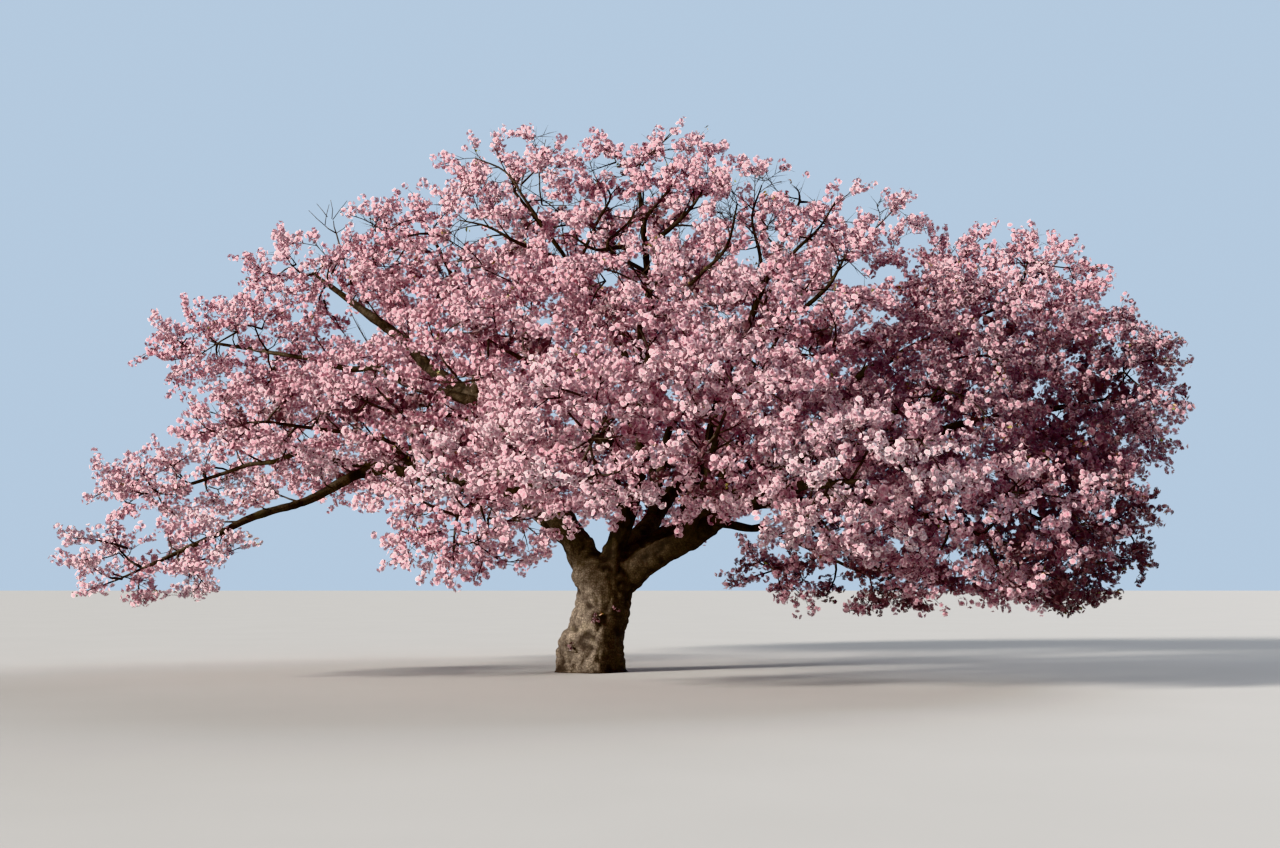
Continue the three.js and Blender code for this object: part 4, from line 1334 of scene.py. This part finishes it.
class CHERRY_OT_old_wood(bpy.types.Operator):
    """The trunk and the six boughs that spring from it, as one skin of old bark"""

    bl_idname = "cherry.old_wood"
    bl_label = "Trunk and main boughs"

    def execute(self, context):
        look = context.scene.cherry_bark
        trunk = self.trunk()
        main = [limb for limb in growth().limbs if limb.parent == "trunk"]
        rods = [self.rod(limb) for limb in main]
        bpy.ops.object.select_all(action="DESELECT")
        for rod in rods:
            rod.select_set(True)
        context.view_layer.objects.active = rods[0]
        bpy.ops.object.convert(target="MESH")
        trunk.select_set(True)
        context.view_layer.objects.active = trunk
        bpy.ops.object.join()
        trunk.name = trunk.data.name = "bark_trunk_and_main_boughs"
        apply_modifier(trunk, "REMESH", mode="VOXEL", voxel_size=look.voxel)
        apply_modifier(trunk, "SMOOTH", factor=0.5, iterations=SKIN_SMOOTHING)
        self.weather(trunk, main, look.relief)
        dress(trunk, bark_material("old_bark", 0.2))
        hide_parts("trunk", *("bough_" + limb.name for limb in main))
        return {"FINISHED"}

    def trunk(self):
        """Rings drawn up from a circle on the ground, then shaped to lobes, burr and fork."""
        bpy.ops.object.select_all(action="DESELECT")
        bpy.ops.mesh.primitive_circle_add(vertices=TRUNK_SIDES, radius=1, fill_type="NGON")
        trunk = bpy.context.object
        bpy.ops.object.mode_set(mode="EDIT")
        bpy.ops.mesh.select_all(action="SELECT")
        for _ in range(TRUNK_RINGS):
            step = {"value": (0, 0, TRUNK_HEIGHT * TRUNK_REACH / TRUNK_RINGS)}
            bpy.ops.mesh.extrude_region_move(TRANSFORM_OT_translate=step)
        bpy.ops.mesh.select_all(action="SELECT")
        bpy.ops.mesh.normals_make_consistent(inside=False)
        bpy.ops.object.mode_set(mode="OBJECT")
        mesh = trunk.data
        co = rows_of(mesh.vertices, "co")
        height = co[:, 2].astype(float)
        angle = np.arctan2(co[:, 1], co[:, 0])
        level = np.minimum(height, TRUNK_HEIGHT)
        rise = ((height - DOME_FROM) / DOME_HEIGHT).clip(0, 0.99)
        radius = trunk_radius(level, angle) * np.sqrt(np.clip(1 - rise**2, 0, 1))
        centre = trunk_centre(height)
        co[:, 0] = centre[:, 0] + np.cos(angle) * radius
        co[:, 1] = centre[:, 1] + np.sin(angle) * radius
        mesh.vertices.foreach_set("co", co.ravel())
        mesh.update()
        return trunk

    def rod(self, limb):
        """One bough as a bevelled curve whose thickness follows its taper."""
        curve = bpy.data.curves.new(limb.name, "CURVE")
        curve.dimensions = "3D"
        curve.bevel_depth = 1
        curve.bevel_resolution = 6
        curve.use_fill_caps = True
        count = int(limb.length / ROD_STEP)
        share = np.linspace(0, 1, count)
        spline = curve.splines.new("POLY")
        spline.points.add(count - 1)
        line = np.column_stack([limb.point(share), np.ones(count)])
        spline.points.foreach_set("co", line.ravel())
        spline.points.foreach_set("radius", limb.radius(share))
        return link_object(limb.name, curve)

    def weather(self, skin, main, strength):
        """Moves the skin's points by the bark's relief, and notes the grain at each."""
        mesh = skin.data
        co = rows_of(mesh.vertices, "co").astype(float)
        normals = rows_of(mesh.vertex_normals, "vector")
        heights = np.linspace(0, TRUNK_HEIGHT, TRUNK_RINGS)
        radii = np.full(TRUNK_RINGS, GRAIN_TRUNK)
        lines = [(trunk_centre(heights), radii, heights, np.zeros(TRUNK_RINGS, int))]
        for limb in main:
            share = np.linspace(GRAIN_FROM, 1, GRAIN_PLACES)
            number = np.full(len(share), limb.index + 1)
            lines.append((limb.point(share), limb.radius(share), share * limb.length, number))
        places, radii, along, number = (np.concatenate(values) for values in zip(*lines))
        ahead = np.concatenate([unit(np.gradient(line[0], axis=0)) for line in lines])
        best = np.concatenate([
            (np.linalg.norm(part[:, None] - places[None], axis=2) / radii[None]).argmin(1)
            for part in np.split(co, range(GRAIN_BATCH, len(co), GRAIN_BATCH))
        ])
        out = co - places[best]
        side = unit(np.cross(ahead[best], np.array([0.1, 0.9, 0.2])))
        other = np.cross(ahead[best], side)
        grain = np.column_stack(
            [(out * side).sum(1) + number[best] * GRAIN_APART, (out * other).sum(1),
             along[best] + (out * ahead[best]).sum(1)]
        )
        size = np.clip(radii[best], 0.05, 0.5) ** RELIEF_POWER
        relief = knobs(co, grain, size) * strength
        ground = smoothstep(co[:, 2], 0.0, PLAIN_FOOT)
        co += normals * (relief * ground)[:, None]
        co[:, 2] = np.maximum(co[:, 2], 0)
        mesh.vertices.foreach_set("co", co.astype(np.float32).ravel())
        set_attributes(mesh, (("grain", grain), ("relief", relief_tone(relief, size))))
        mesh.polygons.foreach_set("use_smooth", np.full(len(mesh.polygons), True))
        mesh.update()


class CHERRY_OT_limbs(bpy.types.Operator):
    """The side boughs, and the stems that carry each mass of blossom on"""

    bl_idname = "cherry.limbs"
    bl_label = "Side boughs and stems"

    def execute(self, context):
        parts = []
        tree = growth()
        for limb, stem in zip(tree.limbs, tree.stems):
            line, radius = self.line(limb, stem)
            thick = limb.root_radius > THICK_FROM and limb.parent != "trunk"
            sides = THICK_SIDES if thick else THIN_SIDES
            points, faces, grain, out = tubes(line[None], radius[None], sides)
            size = np.repeat(radius, sides) ** RELIEF_POWER
            relief = knobs(points, grain, size) * RELIEF_ON_BOUGHS
            points = points + out * relief[:, None]
            tone = relief_tone(relief, size)
            parts.append((points, faces, np.column_stack([grain + limb.index * BOUGH_GRAIN_APART, tone])))
        for number, (path, radii) in enumerate(tree.arms):
            points, faces, grain, _ = tubes(path[None], radii[None], ARM_SIDES)
            tone = np.full(len(grain), 0.5)
            parts.append((points, faces, np.column_stack([grain + number * ARM_GRAIN_APART, tone])))
        points, faces, values = merged(parts)
        attributes = (("grain", values[:, :3]), ("relief", values[:, 3]))
        bark = bark_material("mossy_bark", 0.45)
        piece = new_piece("bark_side_boughs", points, faces, bark, attributes)
        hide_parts(*("bough_" + limb.name for limb in tree.limbs if limb.parent != "trunk"))
        return {"FINISHED"}

    def line(self, limb, stem):
        """The line and radii of a side bough and its stem, or of a main bough's stem alone."""
        start, end, ahead = stem
        share = np.linspace(0, 1, 9)[:, None]
        sag = ahead * np.linalg.norm(end - start) * STEM_FOLLOW
        stem_line = start + (end - start) * share + sag * share * (1 - share)
        stem_radius = limb.tip_radius + (TWIG_ROOT * 0.8 - limb.tip_radius) * share[:, 0]
        if limb.parent == "trunk":
            line = np.vstack([limb.point(0.96), stem_line])
            return line, np.concatenate([[limb.tip_radius * 0.9], stem_radius])
        along = np.linspace(0, 1, max(10, int(limb.length / BOUGH_STEP)))
        line = np.vstack([limb.point(along), stem_line[1:]])
        return line, np.concatenate([limb.radius(along), stem_radius[1:]])


class CHERRY_OT_twigs(bpy.types.Operator):
    """The twigs of every mass and the shoots that bear the blossom"""

    bl_idname = "cherry.twigs"
    bl_label = "Twigs and shoots"

    def execute(self, context):
        tree = growth()
        parts = []
        for rings, sides in ((TWIG_RINGS, 4), (FINE_RINGS, 3)):
            twigs = [twig for twig in tree.twigs if len(twig.path) == rings]
            radii = [np.linspace(twig.radius * 0.95, TWIG_END, rings) for twig in twigs]
            parts.append(tubes([twig.path for twig in twigs], radii, sides)[:3])
        parts.append(spikes(np.array([path for _, path in tree.shoots]), SHOOT_RADIUS))
        lines = [
            [(x, DEAD_DEPTH + DEAD_FAN * (z - DEAD_FORK) * (i % 3 - 1), z) for x, z in line]
            for i, (_, line) in enumerate(DEAD_TWIGS)
        ]
        radii = [np.linspace(radius, radius * DEAD_TAPER, 3) for radius, _ in DEAD_TWIGS]
        parts.append(tubes(lines, radii, 5)[:3])
        points, faces, _ = merged(parts)
        new_piece("twigs", points, faces, twig_material())
        return {"FINISHED"}


class CHERRY_OT_blossom(bpy.types.Operator):
    """Clusters of five-petalled flowers along every shoot, dealt out by tint"""

    bl_idname = "cherry.blossom"
    bl_label = "Blossom"

    def execute(self, context):
        look = context.scene.cherry_blossom
        tree = growth()
        rng = np.random.default_rng(BLOSSOM_SEED)
        tint_of = {twig: self.tint(twig, rng) for twig in tree.twigs}
        tint_of.update((twig, twig.tint) for twig, _ in tree.shoots if twig.tint)
        middles, tints, sizes = self.clusters(tree, look, tint_of)
        off = unit(rng.normal(0, 1, middles.shape))
        middles = middles + off * chance(*CLUSTER_STRAY, rng, (len(middles), 1)) * sizes[:, None]
        keep = self.clear_of_wood(middles, tree) & ~self.hides_bare_wood(middles, tree)
        keep &= ~in_sky_gap(middles, BLOSSOM_GAP_SHARE) & ~in_lace(middles)
        middles, tints, sizes = middles[keep], tints[keep], sizes[keep]
        per_piece = MOST_TRIANGLES // (PETALS * look.per_cluster)
        for name, slot, masses in TINTS:
            own = np.flatnonzero(tints == name)
            material = petal_material("petal_" + name, getattr(look, name))
            pieces = math.ceil(len(own) / per_piece)
            for part in range(pieces):
                some = own[part::pieces]
                points, faces, blush, facing = self.flowers(middles[some], sizes[some], look, rng)
                label = "blossom_" + name + ("" if pieces == 1 else "_" + "abcdef"[part])
                piece = new_piece(label, points, faces, material, (("blush", blush),), facing)
                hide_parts(*("blossom_" + mass for mass in masses))
        return {"FINISHED"}

    def clusters(self, tree, look, tint_of):
        """The middle, tint and size of every cluster, set along shoots and twigs from their tips."""
        lines = [(twig, path, BARE_SHOOT) for twig, path in tree.shoots]
        lines += [(twig, twig.path, BARE_TWIG) for twig in tree.twigs]
        middles, tints, sizes = [], [], []
        for twig, path, bare in lines:
            grown = look.inside if twig.deep else twig.bloom
            along = np.concatenate([[0], np.cumsum(np.linalg.norm(np.diff(path, axis=0), axis=1))])
            length = along[-1]
            count = max(1, int(length * (1 - bare) / (look.spacing * grown) + 0.5))
            spots = length * (1 - (1 - bare) * np.arange(count) / count)
            middles.append(np.column_stack([np.interp(spots, along, axis) for axis in path.T]))
            tints += [tint_of[twig]] * count
            sizes += [grown] * count
        return np.vstack(middles), np.array(tints), np.array(sizes)

    def tint(self, twig, rng):
        """Which tint a spray has: by its mass, how deep inside it lies, and chance. Darker tints inside, low
        and on the shaded side are painted shade, paler ones on the lit masses painted light.
        """
        limb, place = twig.limb, twig.path[-1]
        luck = rng.random() + lattice_noise(place[None] * PATCH_GRAIN, PATCH_SEED)[0] * PATCH_SHADE
        # Painted shade: darker tints in the heart of a mass, under it, inside the crown, by mass and low on
        # the right; the paler tints at the top masses are painted light.
        luck += HEART_SHADE if limb.depth(place)[0] < HEART_DEPTH else 0
        luck += UNDER_SHADE if place[2] < limb.centre[2] else 0
        luck += DEEP_SHADE if twig.deep else 0
        luck += SHADE.get(limb.name, 0)
        luck += LOW_SHADE * smoothstep(place[0], *LOW_FROM) * (1 - smoothstep(place[2], *LOW_UNDER))
        deal = SUNLIT_DEAL if limb.name in SUNLIT_MASSES else SHADED_DEAL if limb.name in SHADED_MASSES else OTHERS_DEAL
        return next(name for name, below in deal if luck < below)

    def clear_of_wood(self, middles, tree):
        """Which clusters lie clear of the boughs."""
        shares = [np.linspace(0, 1, int(limb.length / WOOD_STEP)) for limb in tree.limbs]
        line = np.vstack([limb.point(share) for limb, share in zip(tree.limbs, shares)])
        radii = np.concatenate([limb.radius(share) for limb, share in zip(tree.limbs, shares)])
        wood = finder(line)
        keep = np.ones(len(middles), bool)
        for i, place in enumerate(middles):
            _, nearest, gap = wood.find(place)
            keep[i] = gap > radii[nearest] + WOOD_ROOM + WOOD_SHARE * radii[nearest]
        return keep

    def hides_bare_wood(self, middles, tree):
        """Which clusters stand between the eye and a bare arm or bough."""
        outer, rings = np.linspace(BARE_FROM, 1, BARE_SAMPLES), np.linspace(0, 1, ARM_RINGS)
        lines = [np.column_stack([np.interp(outer, rings, axis) for axis in path.T]) for path, _ in tree.arms]
        radii = [np.interp(outer, rings, radius) for _, radius in tree.arms]
        for name, start, end in BARE_BOUGHS:
            share = np.linspace(start, end, BARE_SAMPLES)
            lines.append(tree.named(name).point(share))
            radii.append(tree.named(name).radius(share))
        radii = np.concatenate(radii)
        wood_shows, wood_away = seen_at(np.vstack(lines))
        shows, away = seen_at(middles)
        wood = finder(wood_shows)
        veiled = lattice_noise(middles * VEIL_GRAIN, VEIL_SEED) > VEIL_FROM
        boughs_from = BARE_SAMPLES * len(tree.arms)
        hides = np.zeros(len(middles), bool)
        for i, spot in enumerate(shows):
            _, nearest, gap = wood.find(spot)
            hides[i] = away[i] < wood_away[nearest] and gap * away[i] < radii[nearest] + BARE_ROOM
            hides[i] &= nearest < boughs_from or not veiled[i]
        return hides

    def flowers(self, middles, sizes, look, rng):
        """Five petals to a flower and a ball of flowers to a cluster."""
        count, per = len(middles), look.per_cluster
        order = np.arange(per)
        height = 1 - 2 * (order + 0.5) / per
        level = np.sqrt(1 - height**2)
        ball = np.stack([level * np.cos(order * GOLDEN_TURN), level * np.sin(order * GOLDEN_TURN), height], 1)
        out = np.einsum("nij,pj->npi", self.random_turns(count, rng), ball)
        out = unit(out + rng.normal(0, FLOWER_STRAY, out.shape))
        reach = look.cluster * sizes[:, None, None] * chance(*FLOWER_OUT, rng, (count, per, 1))
        heart = (middles[:, None] + out * reach).reshape(-1, 3)
        axis = out.reshape(-1, 3)
        total = len(heart)
        side = unit(np.cross(axis, spare_axis(axis)))
        other = np.cross(axis, side)
        turn = rng.random(total) * 2 * math.pi
        size = look.flower * np.repeat(sizes, per) * chance(*FLOWER_SIZE, rng, total)
        cup = chance(*FLOWER_CUP, rng, total)
        points = np.repeat(heart[:, None], FLOWER_POINTS, axis=1)
        facing = np.repeat(axis[:, None], FLOWER_POINTS, axis=1)
        for corner in range(2 * PETALS):
            petal, half = corner // 2, PETAL_HALF if corner % 2 else -PETAL_HALF
            angle = turn + petal * 2 * math.pi / PETALS + half
            outward = side * np.cos(angle)[:, None] + other * np.sin(angle)[:, None]
            rim = size * chance(*PETAL_RIM, rng, total)
            lift = rim * cup * chance(*PETAL_LIFT, rng, total)
            points[:, 1 + corner] = heart + outward * rim[:, None] + axis * lift[:, None]
            facing[:, 1 + corner] += outward * ROUNDING
        petal = np.array([(0, 1 + 2 * p, 2 + 2 * p) for p in range(PETALS)])
        faces = (np.arange(total) * FLOWER_POINTS)[:, None, None] + petal
        rims = 1 + rng.normal(0, BLUSH_OF_FLOWERS, (total, 1))
        rims = rims + rng.normal(0, BLUSH_OF_RIM, (total, 2 * PETALS))
        blush = np.clip(np.concatenate([np.zeros((total, 1)), rims], 1), 0, 1).ravel()
        return points.reshape(-1, 3), [faces.reshape(-1, 3)], blush, unit(facing.reshape(-1, 3))

    def random_turns(self, count, rng):
        w, x, y, z = unit(rng.normal(0, 1, (count, 4))).T
        return np.stack([
            np.stack([1 - 2 * (y * y + z * z), 2 * (x * y - z * w), 2 * (x * z + y * w)], 1),
            np.stack([2 * (x * y + z * w), 1 - 2 * (x * x + z * z), 2 * (y * z - x * w)], 1),
            np.stack([2 * (x * z - y * w), 2 * (y * z + x * w), 1 - 2 * (x * x + y * y)], 1),
        ], 1)


class CHERRY_OT_young_leaves(bpy.types.Operator):
    """The few young bronze-green leaves at the ends of shoots"""

    bl_idname = "cherry.young_leaves"
    bl_label = "Young leaves"

    def execute(self, context):
        rng = np.random.default_rng(LEAF_SEED)
        tree = growth()
        tips, aheads = [], []
        for twig, path in tree.shoots:
            if rng.random() < (LEAFY_MAUVE if twig.limb.name in SHADED_MASSES else LEAFY):
                for _ in range(LEAVES):
                    tips.append(path[-1] + rng.normal(0, LEAF_STRAY, 3))
                    aheads.append(unit(path[-1] - path[-2] + rng.normal(0, 0.5, 3) * LEAF_TURN))
        tips, aheads = np.array(tips), unit(np.array(aheads))
        count = len(tips)
        side = unit(np.cross(aheads, unit(rng.normal(0, 1, (count, 3)))))
        over = np.cross(side, aheads)
        length = chance(*LEAF_LENGTH, rng, count)[:, None]
        middle = tips + aheads * length * LEAF_WIDEST
        wide, fold = side * length * LEAF_HALF_WIDTH, over * length * LEAF_FOLD
        points = np.stack([tips, middle + wide + fold, tips + aheads * length, middle - wide + fold], 1)
        points -= aheads[:, None] * length[:, None] * LEAF_BACK
        base = np.arange(count)[:, None] * 4
        faces = np.concatenate([base + np.array([0, 1, 2]), base + np.array([0, 2, 3])])
        new_piece("young_leaves", points.reshape(-1, 3), [faces], leaf_material())
        return {"FINISHED"}


class CHERRY_OT_stage(bpy.types.Operator):
    """A plain pale floor, soft studio light and the camera"""

    bl_idname = "cherry.stage"
    bl_label = "Stage"

    def execute(self, context):
        look = context.scene.cherry_stage
        bpy.ops.object.select_all(action="DESELECT")
        bpy.ops.mesh.primitive_plane_add(size=400, location=(0, 0, 0))
        floor = bpy.context.object
        floor.name = "floor"
        floor.data.materials.append(stage_material("floor", look.floor))
        world = bpy.data.worlds.new("soft light")
        world.use_nodes = True
        tree = world.node_tree
        light = tree.nodes["Background"]
        light.inputs["Color"].default_value = (*look.light, 1)
        light.inputs["Strength"].default_value = look.fill
        behind = tree.nodes.new("ShaderNodeBackground")
        behind.inputs["Color"].default_value = (*look.backdrop, 1)
        seen = tree.nodes.new("ShaderNodeLightPath")
        both = tree.nodes.new("ShaderNodeMixShader")
        tree.links.new(seen.outputs["Is Camera Ray"], both.inputs[0])
        tree.links.new(light.outputs[0], both.inputs[1])
        tree.links.new(behind.outputs[0], both.inputs[2])
        tree.links.new(both.outputs[0], tree.nodes["World Output"].inputs["Surface"])
        context.scene.world = world
        context.scene.view_settings.view_transform = "Khronos PBR Neutral"
        self.lamp("key", look.key, KEY_TURN, look.softness, KEY_COLOUR)
        self.lamp("back", look.back, BACK_TURN, math.radians(BACK_SOFTNESS), BACK_COLOUR)
        camera = bpy.data.cameras.new("camera")
        camera.lens = LENS
        camera.clip_end = 500
        view = link_object("camera", camera)
        view.location = EYE
        view.rotation_euler = (math.radians(TILT), 0, 0)
        context.scene.camera = view
        return {"FINISHED"}

    def lamp(self, name, strength, turn, angle, colour):
        light = bpy.data.lights.new(name, "SUN")
        light.energy = strength
        light.angle = angle
        light.color = colour
        link_object(name, light).rotation_euler = [math.radians(t) for t in turn]


class CHERRY_PT_panel(bpy.types.Panel):
    """The pieces of the cherry tree, in the order they are made"""

    bl_idname = "CHERRY_PT_panel"
    bl_label = "Cherry tree"
    bl_space_type = "VIEW_3D"
    bl_region_type = "UI"
    bl_category = "Cherry tree"

    def draw(self, context):
        for operator in OPERATORS:
            self.layout.operator(operator.bl_idname)
        for settings in (context.scene.cherry_bark, context.scene.cherry_blossom, context.scene.cherry_stage):
            box = self.layout.box()
            for key in settings.__annotations__:
                box.prop(settings, key)


OPERATORS = (
    CHERRY_OT_old_wood,
    CHERRY_OT_limbs,
    CHERRY_OT_twigs,
    CHERRY_OT_blossom,
    CHERRY_OT_young_leaves,
    CHERRY_OT_stage,
)
GROUPS = (
    ("cherry_bark", CherryBark),
    ("cherry_blossom", CherryBlossom),
    ("cherry_stage", CherryStage),
)


def register():
    for label, group in GROUPS:
        bpy.utils.register_class(group)
        setattr(bpy.types.Scene, label, bpy.props.PointerProperty(type=group))
    for operator in OPERATORS:
        bpy.utils.register_class(operator)
    bpy.utils.register_class(CHERRY_PT_panel)


def unregister():
    bpy.utils.unregister_class(CHERRY_PT_panel)
    for operator in reversed(OPERATORS):
        bpy.utils.unregister_class(operator)
    for label, group in reversed(GROUPS):
        delattr(bpy.types.Scene, label)
        bpy.utils.unregister_class(group)


def corners(box):
    return [[float(value) for value in corner] for corner in box]


def main():
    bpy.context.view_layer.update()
    register()
    bpy.ops.cherry.old_wood()
    bpy.ops.cherry.limbs()
    bpy.ops.cherry.twigs()
    bpy.ops.cherry.blossom()
    bpy.ops.cherry.young_leaves()
    bpy.ops.cherry.stage()
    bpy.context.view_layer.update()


if __name__ == "__main__":
    main()
